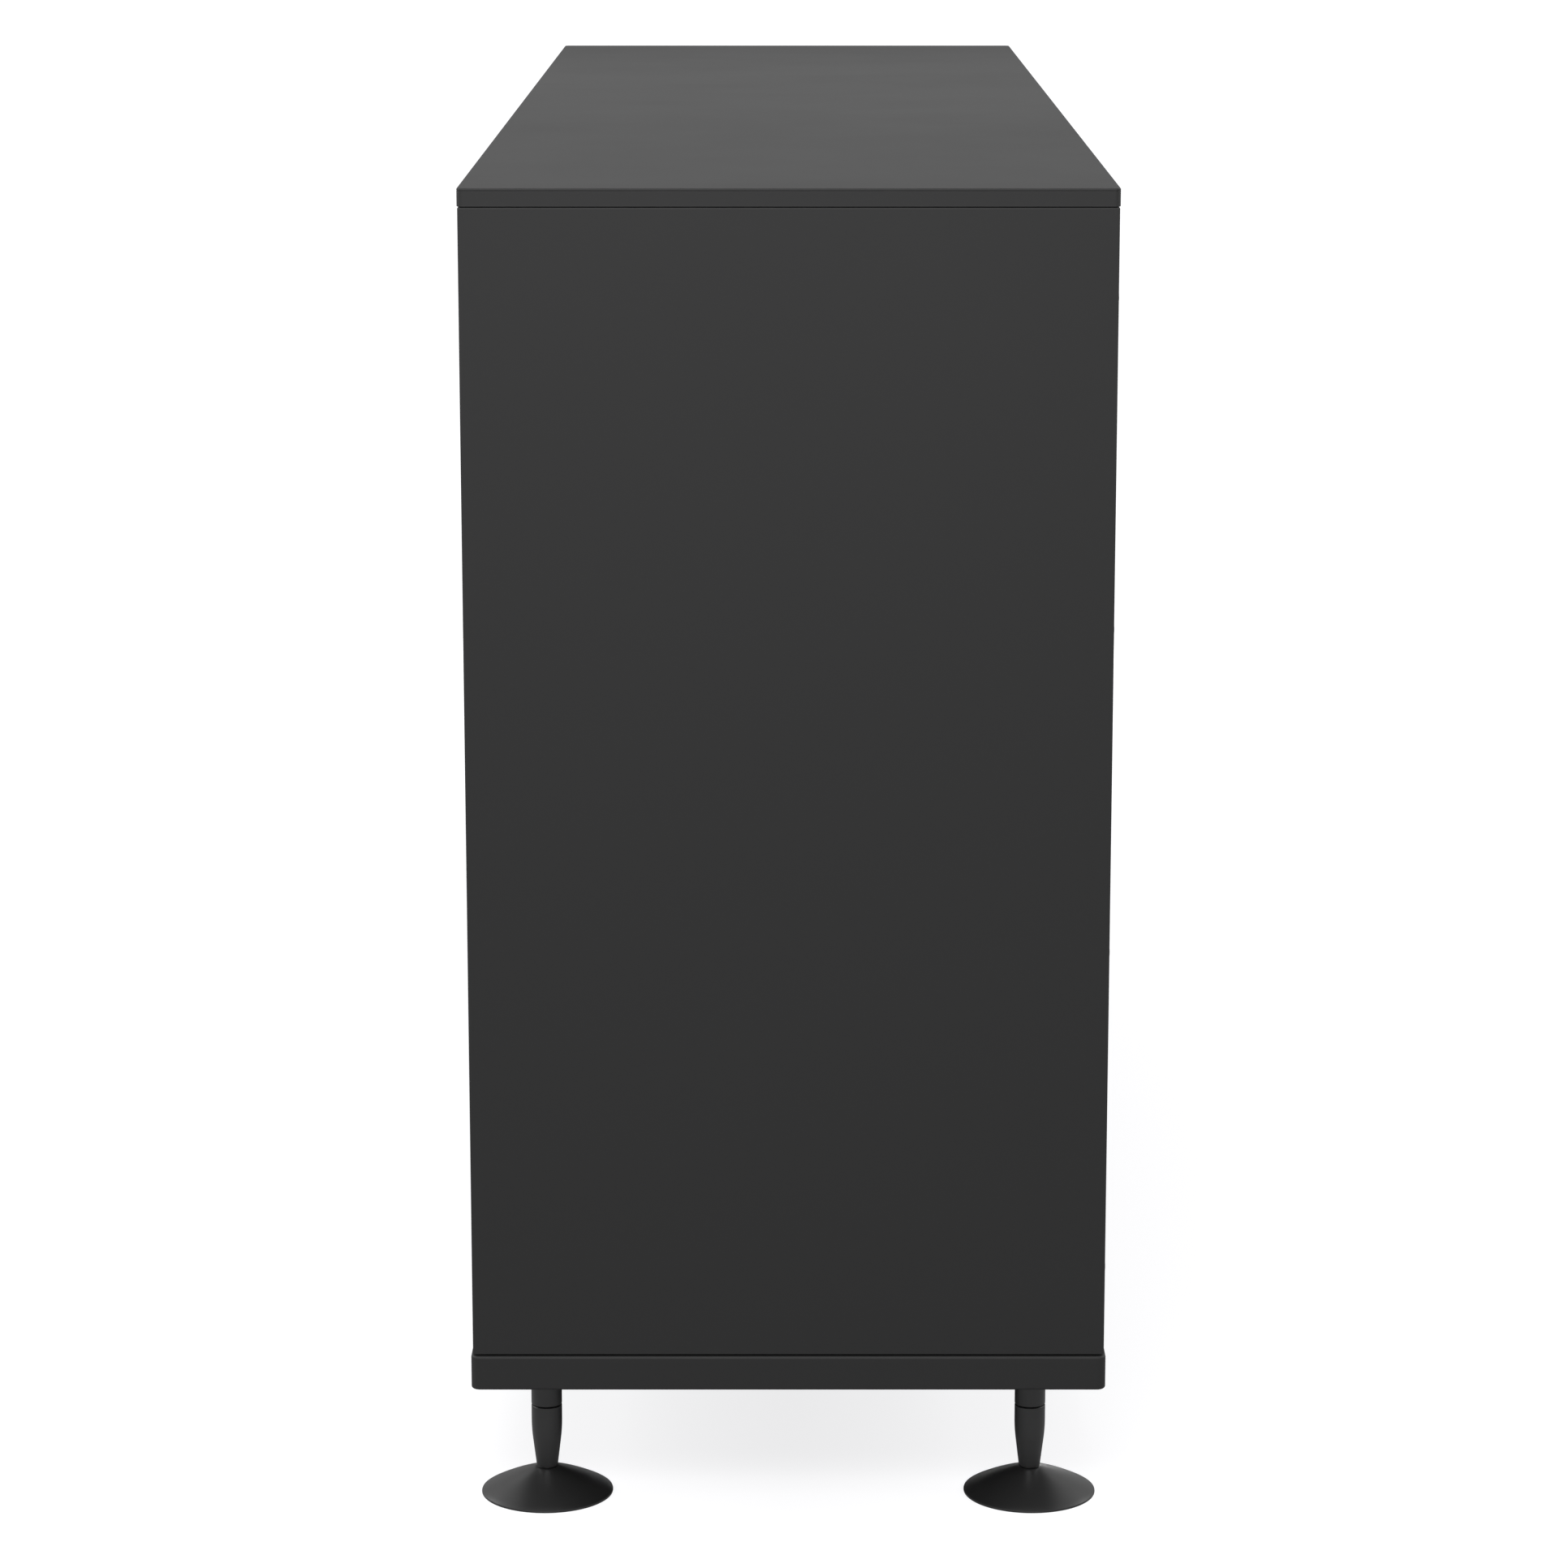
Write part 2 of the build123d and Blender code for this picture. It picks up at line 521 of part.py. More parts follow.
def legs():
    """A stud and a collar at each place, and under them the post with its disc foot."""
    places = list(LEG_PLACES.values())
    with BuildPart() as studs:
        with Locations(*[(x, y, SEAM_Z - STUD_DROP) for x, y in places]):
            Cylinder(STUD_RADIUS, STUD_DROP + COLLAR_HEIGHT + STUD_BITE, align=UPRIGHT)
    save(studs.part, "leg_studs")

    with BuildPart() as collars:
        with Locations(*[(x, y, SEAM_Z) for x, y in places]):
            Cylinder(LEG_RADIUS, COLLAR_HEIGHT, align=UPRIGHT)
        chamfer(collars.faces().group_by(Axis.Z)[0].edges(), SEAM_BEVEL)
        with Locations(*[(x, y, SEAM_Z) for x, y in places]):
            Cylinder(STUD_RADIUS + STUD_PLAY, COLLAR_HEIGHT, align=UPRIGHT, mode=Mode.SUBTRACT)
    save(collars.part, "leg_collars")

    bore_depth = STUD_DROP + DRILL_PLAY
    for name, (x, y) in LEG_PLACES.items():
        section = Plane(origin=(x, y, 0), x_dir=(1, 0, 0), z_dir=(0, -1, 0))
        with BuildPart() as post:
            with BuildSketch(section):
                with BuildLine():
                    post_outline()
                make_face()
            revolve(axis=Axis((x, y, 0), (0, 0, 1)))
            rod_z(x, y, (SEAM_Z - bore_depth, SEAM_Z), STUD_RADIUS + STUD_PLAY, Mode.SUBTRACT)
        save(post.part, f"leg_post_{name}")
        with BuildPart() as disc:
            with BuildSketch(section):
                with BuildLine():
                    disc_outline()
                make_face()
            revolve(axis=Axis((x, y, 0), (0, 0, 1)))
        save(disc.part, f"disc_foot_{name}")


# ---------------------------------------------------------------- drawers
def channel(wall, side, reach, half_height, centre_z, web_on_wall):
    """A C-shaped steel section. reach is measured from the cabinet wall, towards side (+1 or -1)."""
    low, high = reach
    shift = RUNNER_STEEL if web_on_wall else -RUNNER_STEEL
    middle = wall + side * (low + high) / 2
    with BuildSketch(Plane.XZ.offset(-RUNNER_REAR_Y)) as section:
        with Locations((middle, centre_z)):
            Rectangle(high - low, 2 * half_height)
        with Locations((middle + side * shift, centre_z)):
            Rectangle(high - low, 2 * (half_height - RUNNER_STEEL), mode=Mode.SUBTRACT)
    extrude(section.sketch, amount=RUNNER_LENGTH)


MIDDLE_HALF = RUNNER_HEIGHT / 2 - RUNNER_STEEL - RUNNER_PLAY
INNER_HALF = MIDDLE_HALF - RUNNER_STEEL - RUNNER_PLAY
MIDDLE_REACH = (RUNNER_STEEL + WEB_SPACE, RUNNER_SPACE - RUNNER_STEEL - RUNNER_PLAY)
OUTER_REACH = (0.0, MIDDLE_REACH[1] - OUTER_LIP_SETBACK)
INNER_REACH = (MIDDLE_REACH[0] + RUNNER_STEEL + WEB_SPACE, RUNNER_SPACE)


def slide_sides(column):
    """(cabinet wall, direction towards the drawer) for the two slides of a column."""
    low, high = bay(column)
    return ((low, 1), (high, -1))


def slide_height(row):
    """Height of the centre line of a row's slides."""
    return front_floor(row) + BOX_RISE + RUNNER_RISE


def outer_runners():
    """The slides' outer members, screwed to the uprights: one group for each column."""
    for column in COLUMNS:
        with BuildPart() as outers:
            for row in ROWS:
                for wall, side in slide_sides(column):
                    channel(wall, side, OUTER_REACH, RUNNER_HEIGHT / 2, slide_height(row), True)
        save(outers.part, f"runner_outers_{column}_column")


def moving_runners(column, row):
    """The middle pair, which travels half as far as the drawer, and the inner pair on the box."""
    height = slide_height(row)
    with BuildPart() as middle:
        for wall, side in slide_sides(column):
            channel(wall, side, MIDDLE_REACH, MIDDLE_HALF, height, True)
    save(middle.part, f"runner_middle_{column}_{row}")
    with BuildPart() as inner:
        for wall, side in slide_sides(column):
            channel(wall, side, INNER_REACH, INNER_HALF, height, False)
    save(inner.part, f"runner_inner_{column}_{row}")


def front_span(column):
    """Low and high X of a column's fronts, which cover the divider's edge."""
    inner, outer = FRONT_MIDDLE_GAP / 2, WALL_X - FRONT_SIDE_GAP
    return (-outer, -inner) if column == "left" else (inner, outer)


def drawer_front(column, row):
    """The lacquered front. Its rear top edge slopes so that fingers can hook behind it."""
    floor = front_floor(row)
    with BuildPart() as front:
        block(front_span(column), (FRONT_Y, BEHIND_FRONT_Y), (floor, floor + FRONT_HEIGHT))
        rear_face = front.faces().sort_by(Axis.Y)[-1]
        chamfer(rear_face.edges().sort_by(Axis.Z)[-1], GRIP_BEVEL)
        fillet(front.faces().sort_by(Axis.Y)[0].edges(), EDGE_EASE)
    save(front.part, f"drawer_front_{column}_{row}")


def drawer_box(column, row):
    """Two grooved sides, a grooved inner front and a back, and the bottom that slides in from behind."""
    low, high = bay(column)
    outside = (low + RUNNER_SPACE, high - RUNNER_SPACE)
    inside = (outside[0] + BOX_WALL, outside[1] - BOX_WALL)
    floor = front_floor(row) + BOX_RISE
    z = (floor, floor + BOX_HEIGHT)
    y = (BEHIND_FRONT_Y, BOX_REAR_Y)
    groove_z = (floor + BOTTOM_RISE, floor + BOTTOM_RISE + BOTTOM_THICKNESS + GROOVE_PLAY)
    groove_x = (inside[0] - GROOVE_DEPTH, inside[1] + GROOVE_DEPTH)
    groove_y = (y[0] + BOX_WALL - GROOVE_DEPTH, y[1])
    with BuildPart() as sides:
        for x in ((outside[0], inside[0]), (inside[1], outside[1])):
            block(x, y, z)
        block(groove_x, groove_y, groove_z, Mode.SUBTRACT)
    with BuildPart() as ends:
        block(inside, (y[0], y[0] + BOX_WALL), z)
        block(inside, groove_y, groove_z, Mode.SUBTRACT)
        block(inside, (y[1] - BOX_WALL, y[1]), (groove_z[1], z[1]))
    boards = Compound(children=[*sides.part.solids(), *ends.part.solids()])
    save(boards, f"drawer_box_{column}_{row}")

    bottom_x = (groove_x[0] + GROOVE_PLAY, groove_x[1] - GROOVE_PLAY)
    bottom_y = (groove_y[0] + GROOVE_PLAY, groove_y[1])
    with BuildPart() as bottom:
        block(bottom_x, bottom_y, (groove_z[0], groove_z[0] + BOTTOM_THICKNESS))
    save(bottom.part, f"drawer_bottom_{column}_{row}")


def main():
    """Builds every piece of the dresser."""
    os.makedirs("parts", exist_ok=True)
    top_panel()
    base_board()
    end_panels()
    centre_divider()
    back_panels()
    back_joint_strip()
    rail_boards()
    cam_fittings()
    screws()
    legs()
    outer_runners()
    for column in COLUMNS:
        for row in ROWS:
            drawer_front(column, row)
            drawer_box(column, row)
            moving_runners(column, row)


main()
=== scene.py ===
"""Looks of a six-drawer dresser on turned legs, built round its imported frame.

Metres, +Z up, X along the length. The drawers face -Y. A piece's object stays at the origin and
its place is in its mesh, so every pattern reads Object coordinates.
"""

from __future__ import annotations

import json
import logging
import math
from dataclasses import dataclass, field
from enum import Enum
from typing import Any, Iterable, Sequence

import bpy
from mathutils import Matrix, Vector

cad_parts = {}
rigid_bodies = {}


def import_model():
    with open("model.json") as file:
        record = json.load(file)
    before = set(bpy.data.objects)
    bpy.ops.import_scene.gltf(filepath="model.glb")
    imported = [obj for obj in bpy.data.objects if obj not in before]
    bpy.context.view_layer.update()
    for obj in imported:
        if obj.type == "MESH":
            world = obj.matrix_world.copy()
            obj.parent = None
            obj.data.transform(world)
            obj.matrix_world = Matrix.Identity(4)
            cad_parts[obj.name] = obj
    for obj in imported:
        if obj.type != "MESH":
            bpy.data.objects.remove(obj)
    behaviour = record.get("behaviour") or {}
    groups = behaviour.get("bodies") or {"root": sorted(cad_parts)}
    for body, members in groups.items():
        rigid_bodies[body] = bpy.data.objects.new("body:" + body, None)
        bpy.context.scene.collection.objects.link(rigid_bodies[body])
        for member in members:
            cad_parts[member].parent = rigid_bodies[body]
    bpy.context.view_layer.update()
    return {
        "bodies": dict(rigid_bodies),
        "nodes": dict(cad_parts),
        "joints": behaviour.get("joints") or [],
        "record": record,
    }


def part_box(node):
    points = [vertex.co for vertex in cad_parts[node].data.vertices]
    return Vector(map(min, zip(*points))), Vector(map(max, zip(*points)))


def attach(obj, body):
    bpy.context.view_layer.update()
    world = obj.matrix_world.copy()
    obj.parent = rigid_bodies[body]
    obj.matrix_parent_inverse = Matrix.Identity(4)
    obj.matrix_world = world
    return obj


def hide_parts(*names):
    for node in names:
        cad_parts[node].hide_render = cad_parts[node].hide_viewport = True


LOG = logging.getLogger("dresser")
MM = 0.001
QUARTER = math.pi / 2
SMOOTH_ANGLE = math.radians(32)
NOISE_ROUGHNESS = 0.55
FLOAT = "NodeSocketFloat"

Ring = tuple[float, float]  # (radius, height) of one ring of a turned piece
Colour = tuple[float, float, float, float]
Span = tuple[float, float]
Spot = tuple[Vector, Vector]  # where a screw head sits and the way it faces
Piece = bpy.types.Object
Socket = bpy.types.NodeSocket


class Column(Enum):
    """The two stacks of drawers."""

    LEFT = "left"
    RIGHT = "right"


class Row(Enum):
    """The three heights of drawer."""

    BOTTOM = "bottom"
    MIDDLE = "middle"
    TOP = "top"


class LegPlace(Enum):
    """Where a leg stands under the base."""

    FRONT_LEFT = "front_left"
    FRONT_RIGHT = "front_right"
    REAR_LEFT = "rear_left"
    REAR_RIGHT = "rear_right"
    CENTRE = "centre"


class Slot(Enum):
    """The record's material slots."""

    LACQUER = "lacquer"
    DRAWER_LINING = "drawer_lining"
    BACK_FOIL = "back_foil"
    LEG_COAT = "leg_coat"
    RUNNER_STEEL = "runner_steel"
    ZINC_STEEL = "zinc_steel"
    ZINC_CASTING = "zinc_casting"
    BEECH = "beech"
    BLACK_PLASTIC = "black_plastic"


# ---------------------------------------------------------------- node trees


@dataclass
class Tree:
    """A thin wrapper that adds and links shader nodes."""

    nodes: bpy.types.Nodes
    links: bpy.types.NodeLinks

    def feed(self, socket: Socket, value: Any) -> None:
        """Links a socket to an output, or sets it to a plain value.

        Args:
            socket: the input socket.
            value: an output socket, or a number, colour or vector.
        """
        if isinstance(value, Socket):
            self.links.new(value, socket)
        else:
            socket.default_value = value

    def add(self, kind: str, inputs: dict[Any, Any] | None = None, **settings: Any) -> bpy.types.Node:
        """Adds a node.

        Args:
            kind: the node's type name.
            inputs: socket name or index to a plain value or to an output socket to link from.
            settings: attributes of the node itself.

        Returns:
            The new node.
        """
        node = self.nodes.new(kind)
        for name, value in settings.items():
            setattr(node, name, value)
        for socket, value in (inputs or {}).items():
            self.feed(node.inputs[socket], value)
        return node

    def maths(self, operation: str, first: Any, second: Any = 0.0) -> Socket:
        """Joins two values with one Math node and returns its output."""
        return self.add("ShaderNodeMath", {0: first, 1: second}, operation=operation).outputs[0]

    def blend(self, *parts: tuple[Any, float]) -> Socket:
        """Adds two (value, share) pairs, each value times its share, and returns the sum."""
        return self.maths("ADD", *(self.maths("MULTIPLY", value, share) for value, share in parts))

    def remap(self, value: Any, span: Span, to_low: float, to_high: float) -> Socket:
        """Maps a value from the span into another, clamped, and returns the output."""
        low, high = span
        inputs = {"Value": value, "From Min": low, "From Max": high, "To Min": to_low, "To Max": to_high}
        return self.add("ShaderNodeMapRange", inputs).outputs[0]

    def mix(self, mask: Any, first: Any, second: Any) -> Socket:
        """Mixes two colours.

        Args:
            mask: 0 for the first colour and 1 for the second.
            first: a colour or a socket.
            second: a colour or a socket.

        Returns:
            The mixed colour.
        """
        node = self.add("ShaderNodeMix", data_type="RGBA")
        for index, value in ((0, mask), (6, first), (7, second)):  # a colour mix's own sockets
            self.feed(node.inputs[index], value)
        return node.outputs[2]

    def noise(self, vector: Any, scale: Any, detail: float) -> Socket:
        """Adds a noise texture and returns its value, about 0.5 on average."""
        inputs = {"Vector": vector, "Scale": scale, "Detail": detail, "Roughness": NOISE_ROUGHNESS}
        return self.add("ShaderNodeTexNoise", inputs).outputs[0]

    def stretched(self, vector: Any, scale: tuple[float, float, float]) -> Socket:
        """Scales coordinates by a different amount on each axis and returns them."""
        return self.add("ShaderNodeMapping", {"Vector": vector, "Scale": scale}).outputs[0]


class EffectGroup:
    """A shader node group with named inputs and outputs, built once and used in many materials."""

    def __init__(self, name: str, inputs: dict[str, float], outputs: Sequence[str]) -> None:
        """Makes the empty group.

        Args:
            name: the group's name.
            inputs: input name to default value, besides the Vector that every effect reads.
            outputs: names of the values that the group puts out.
        """
        self.group = bpy.data.node_groups.new(name, "ShaderNodeTree")
        face = self.group.interface
        face.new_socket("Vector", in_out="INPUT", socket_type="NodeSocketVector")
        for label, default in inputs.items():
            face.new_socket(label, in_out="INPUT", socket_type=FLOAT).default_value = default
        for label in outputs:
            face.new_socket(label, in_out="OUTPUT", socket_type=FLOAT)
        self.tree = Tree(self.group.nodes, self.group.links)
        self.given = self.tree.add("NodeGroupInput").outputs
        self.result = self.tree.add("NodeGroupOutput").inputs

    def put(self, label: str, socket: Socket) -> None:
        """Links a socket to one of the group's outputs."""
        self.tree.links.new(socket, self.result[label])


class Effects:
    """The effects that several finishes share, each a node group."""

    def __init__(self) -> None:
        """Builds every group."""
        self.peel = self._spray_peel()
        self.edge = self._edge_mask()
        self.dust = self._settled_dust()
        self.weave = self._linen_weave()
        self.spangle = self._zinc_spangle()
        self.grain = self._wood_grain()

    @staticmethod
    def _spray_peel() -> bpy.types.NodeTree:
        """Builds the fine pebbling of a sprayed coat, with slow clouds in its gloss.

        Returns:
            The group, with Height and Clouds.
        """
        coarse_grain, fine_share, coarse_share, clouded = 0.31, 0.6, 0.4, (0.3, 0.7)
        effect = EffectGroup("spray_peel", {"Grain": 900.0, "Cloud": 7.0}, ["Height", "Clouds"])
        tree, given = effect.tree, effect.given
        fine = tree.noise(given["Vector"], given["Grain"], 3.0)
        coarse = tree.noise(given["Vector"], tree.maths("MULTIPLY", given["Grain"], coarse_grain), 1.0)
        effect.put("Height", tree.blend((fine, fine_share), (coarse, coarse_share)))
        effect.put("Clouds", tree.remap(tree.noise(given["Vector"], given["Cloud"], 4.0), clouded, 0.0, 1.0))
        return effect.group

    @staticmethod
    def _edge_mask() -> bpy.types.NodeTree:
        """Builds a mask of sharp and eased edges, broken up so that it isn't a drawn line. Lacquers use it
        to lighten their edges, partly wear and partly a painted highlight.

        Returns:
            The group, with Edge: 1 along an edge and 0 on a flat face.
        """
        turned_away = (0.99, 0.82)  # cosine of the turn of the rounded normal, from face to edge
        # The patches break up both the wear and the painted highlight that lacquers draw with this mask.
        wear_and_highlight, least_wear_and_highlight = (0.25, 0.6), 0.45
        effect = EffectGroup("edge_mask", {"Radius": 0.0015, "Break Up": 40.0}, ["Edge"])
        tree, given = effect.tree, effect.given
        rounded = tree.add("ShaderNodeBevel", {"Radius": given["Radius"]}, samples=4).outputs[0]
        true = tree.add("ShaderNodeNewGeometry").outputs["True Normal"]
        turn = tree.add("ShaderNodeVectorMath", {0: rounded, 1: true}, operation="DOT_PRODUCT")
        edge = tree.remap(turn.outputs["Value"], turned_away, 0.0, 1.0)
        patches = tree.remap(tree.noise(given["Vector"], given["Break Up"], 3.0), wear_and_highlight, least_wear_and_highlight, 1.0)
        effect.put("Edge", tree.maths("MULTIPLY", edge, patches))
        return effect.group

    @staticmethod
    def _settled_dust() -> bpy.types.NodeTree:
        """Builds a thin film on faces that look up, thicker in soft patches.

        Returns:
            The group, with Dust.
        """
        level, patchy, speckled = (0.6, 1.0), (0.3, 0.75), (0.45, 0.75)
        thinnest_patch, thinnest_speck = 0.35, 0.6
        effect = EffectGroup("settled_dust", {"Patches": 4.0, "Specks": 1400.0}, ["Dust"])
        tree, given = effect.tree, effect.given
        normal = tree.add("ShaderNodeNewGeometry").outputs["True Normal"]
        up = tree.remap(tree.add("ShaderNodeSeparateXYZ", {0: normal}).outputs[2], level, 0.0, 1.0)
        soft = tree.remap(tree.noise(given["Vector"], given["Patches"], 3.0), patchy, thinnest_patch, 1.0)
        specks = tree.remap(tree.noise(given["Vector"], given["Specks"], 1.0), speckled, thinnest_speck, 1.0)
        effect.put("Dust", tree.maths("MULTIPLY", tree.maths("MULTIPLY", up, soft), specks))
        return effect.group

    @staticmethod
    def _linen_weave() -> bpy.types.NodeTree:
        """Builds a printed and embossed linen: slubby threads that cross at right angles.

        Returns:
            The group, with Height and Tint.
        """
        wander, third, high_share, crossed_share = 3.0, 0.33, 0.6, 0.4
        streak_stretch, streak_scale, slub_tint, inked = (6.0, 90.0, 240.0), 4.0, 0.35, (0.3, 0.75)
        effect = EffectGroup("linen_weave", {"Threads": 700.0, "Slub": 45.0}, ["Height", "Tint"])
        tree, given = effect.tree, effect.given
        slub = tree.maths("SUBTRACT", tree.noise(given["Vector"], given["Slub"], 3.0), 0.5)
        drift = tree.maths("MULTIPLY", slub, wander)
        threads = []
        for axis in tree.add("ShaderNodeSeparateXYZ", {0: given["Vector"]}).outputs:
            phase = tree.maths("ADD", tree.maths("MULTIPLY", axis, given["Threads"]), drift)
            wave = tree.maths("SINE", tree.maths("MULTIPLY", phase, 2.0 * math.pi))
            threads.append(tree.remap(wave, (-1.0, 1.0), 0.0, 1.0))
        highest = tree.maths("MAXIMUM", tree.maths("MAXIMUM", threads[0], threads[1]), threads[2])
        total = tree.maths("ADD", tree.maths("ADD", threads[0], threads[1]), threads[2])
        crossed = tree.maths("MULTIPLY", total, third)
        effect.put("Height", tree.blend((highest, high_share), (crossed, crossed_share)))
        streak = tree.noise(tree.stretched(given["Vector"], streak_stretch), streak_scale, 4.0)
        printed = tree.maths("ADD", streak, tree.maths("MULTIPLY", slub, slub_tint))
        effect.put("Tint", tree.remap(printed, inked, 0.0, 1.0))
        return effect.group

    @staticmethod
    def _zinc_spangle() -> bpy.types.NodeTree:
        """Builds zinc's soft crystal patches with fine rolling streaks along Y.

        Returns:
            The group, with Tint and Streaks.
        """
        rolled = (40.0, 1.0, 40.0)
        effect = EffectGroup("zinc_spangle", {"Crystal": 160.0, "Streak": 30.0}, ["Tint", "Streaks"])
        tree, given = effect.tree, effect.given
        cells = tree.add("ShaderNodeTexVoronoi", {"Vector": given["Vector"], "Scale": given["Crystal"]})
        patch = tree.add("ShaderNodeSeparateColor", {0: cells.outputs["Color"]}).outputs[0]
        effect.put("Tint", patch)
        effect.put("Streaks", tree.noise(tree.stretched(given["Vector"], rolled), given["Streak"], 3.0))
        return effect.group

    @staticmethod
    def _wood_grain() -> bpy.types.NodeTree:
        """Builds fine straight grain along X with short darker flecks.

        Returns:
            The group, with Grain and Fleck.
        """
        along_x, fleck_scale, flecked = (0.05, 1.0, 1.0), 4.0, (0.62, 0.72)
        effect = EffectGroup("wood_grain", {"Rings": 300.0}, ["Grain", "Fleck"])
        tree, given = effect.tree, effect.given
        along = tree.stretched(given["Vector"], along_x)
        effect.put("Grain", tree.noise(along, given["Rings"], 4.0))
        fleck = tree.noise(along, tree.maths("MULTIPLY", given["Rings"], fleck_scale), 1.0)
        effect.put("Fleck", tree.remap(fleck, flecked, 0.0, 1.0))
        return effect.group


# ---------------------------------------------------------------- finishes


def grey(value: float) -> Colour:
    """A neutral linear colour."""
    return (value, value, value * 1.01, 1.0)


@dataclass
class Coat:
    """A material that is being made: its tree, its shader's sockets and the effects to draw on."""

    tree: Tree
    sockets: bpy.types.NodeInputs
    effects: Effects

    def __post_init__(self) -> None:
        """Adds the Object coordinates that every effect reads."""
        self.place = self.tree.add("ShaderNodeTexCoord").outputs["Object"]

    def use(self, group: bpy.types.NodeTree, **values: float) -> Any:
        """Places a shared effect.

        Args:
            group: the effect.
            values: the effect's inputs, with underscores for spaces.

        Returns:
            The effect's outputs.
        """
        inputs = {label.replace("_", " "): value for label, value in values.items()}
        return self.tree.add("ShaderNodeGroup", {"Vector": self.place, **inputs}, node_tree=group).outputs

    def link(self, label: str, value: Socket) -> None:
        """Links a varying value to one of the shader's sockets."""
        self.tree.links.new(value, self.sockets[label])

    def bump(self, height: Socket, depth: float, strength: float) -> None:
        """Gives the shader a bump of a true depth in metres."""
        inputs = {"Strength": strength, "Distance": depth, "Height": height}
        self.link("Normal", self.tree.add("ShaderNodeBump", inputs).outputs[0])


@dataclass(frozen=True)
class Finish:
    """What every finish has: a name, a base colour and a base roughness."""

    name: str
    colour: Colour
    roughness: float

    def material(self, effects: Effects) -> bpy.types.Material:
        """Makes the material.

        Args:
            effects: the shared node groups.

        Returns:
            The finished material.
        """
        made = bpy.data.materials.new(self.name)
        made.use_nodes = True
        sockets = made.node_tree.nodes["Principled BSDF"].inputs
        sockets["Base Color"].default_value = self.colour
        sockets["Roughness"].default_value = self.roughness
        self.dress(Coat(Tree(made.node_tree.nodes, made.node_tree.links), sockets, effects))
        return made

    def dress(self, coat: Coat) -> None:
        """Adds this finish's own detail. Each kind of finish has its own."""
        raise NotImplementedError


@dataclass(frozen=True)
class MatteLacquer(Finish):
    """Sprayed matte black: fine peel, slow gloss clouds, a burnished edge lightened partly by wear and
    partly by a painted highlight, and a breath of dust.
    """

    # The colour on edges is lighter: partly wear, partly a painted highlight.
    edge_wear_and_highlight_colour: Colour
    dust_amount: float
    specular: float
    grain: float
    depth: float
    dust_colour: Colour = grey(0.20)
    cloud_swing: float = 0.015
    edge_polish: float = 0.06  # how much smoother a rubbed edge is
    strength: float = 0.35

    def dress(self, coat: Coat) -> None:
        """Adds peel, clouds, edges and dust; the edges get a lighter colour, partly wear and partly a
        painted highlight.

        Args:
            coat: the material that is being made.
        """
        tree, effects = coat.tree, coat.effects
        coat.sockets["Specular IOR Level"].default_value = self.specular
        peel = coat.use(effects.peel, Grain=self.grain)
        edge = coat.use(effects.edge)["Edge"]
        dust = coat.use(effects.dust)["Dust"]
        # Edges mixed toward the lighter colour: partly wear, partly a painted highlight.
        wear_and_highlight = tree.mix(edge, self.colour, self.edge_wear_and_highlight_colour)
        film = tree.maths("MULTIPLY", dust, self.dust_amount)
        coat.link("Base Color", tree.mix(film, wear_and_highlight, self.dust_colour))
        smooth, rough = self.roughness - self.cloud_swing, self.roughness + self.cloud_swing
        clouded = tree.remap(peel["Clouds"], (0.0, 1.0), smooth, rough)
        rubbed = tree.maths("SUBTRACT", clouded, tree.maths("MULTIPLY", edge, self.edge_polish))
        coat.link("Roughness", rubbed)
        coat.bump(peel["Height"], self.depth, self.strength)


@dataclass(frozen=True)
class LinenFoil(Finish):
    """Charcoal foil with a linen print, as on drawer sides and bottoms."""

    thread_colour: Colour
    specular: float = 0.35
    smoother: float = 0.05  # between the printed threads
    rougher: float = 0.08  # on them
    depth: float = 0.06 * MM
    strength: float = 0.5

    def dress(self, coat: Coat) -> None:
        """Adds the woven print and its emboss.

        Args:
            coat: the material that is being made.
        """
        tree, effects = coat.tree, coat.effects
        coat.sockets["Specular IOR Level"].default_value = self.specular
        weave = coat.use(effects.weave)
        print_mask = tree.maths("MULTIPLY", tree.maths("ADD", weave["Tint"], weave["Height"]), 0.5)
        coat.link("Base Color", tree.mix(print_mask, self.colour, self.thread_colour))
        smooth, rough = self.roughness - self.smoother, self.roughness + self.rougher
        coat.link("Roughness", tree.remap(weave["Tint"], (0.0, 1.0), smooth, rough))
        coat.bump(weave["Height"], self.depth, self.strength)


@dataclass(frozen=True)
class ZincMetal(Finish):
    """Zinc-plated or die-cast zinc: crystal patches, rolling streaks and dull handled places."""

    pale: Colour
    crystal: float
    mark_grain: float = 260.0
    mark_size: float = 30.0
    streaked: Span = (0.3, 0.7)
    swing: float = 0.08
    depth: float = 0.02 * MM
    strength: float = 0.4

    def dress(self, coat: Coat) -> None:
        """Adds spangle, streaks and handling marks.

        Args:
            coat: the material that is being made.
        """
        tree, effects = coat.tree, coat.effects
        coat.sockets["Metallic"].default_value = 1.0
        spangle = coat.use(effects.spangle, Crystal=self.crystal)
        marks = coat.use(effects.peel, Grain=self.mark_grain, Cloud=self.mark_size)
        coat.link("Base Color", tree.mix(spangle["Tint"], self.colour, self.pale))
        smooth, rough = self.roughness - self.swing, self.roughness + self.swing
        streaky = tree.remap(spangle["Streaks"], self.streaked, smooth, rough)
        handled = tree.maths("ADD", streaky, tree.maths("MULTIPLY", marks["Clouds"], self.swing))
        coat.link("Roughness", handled)
        coat.bump(spangle["Streaks"], self.depth, self.strength)


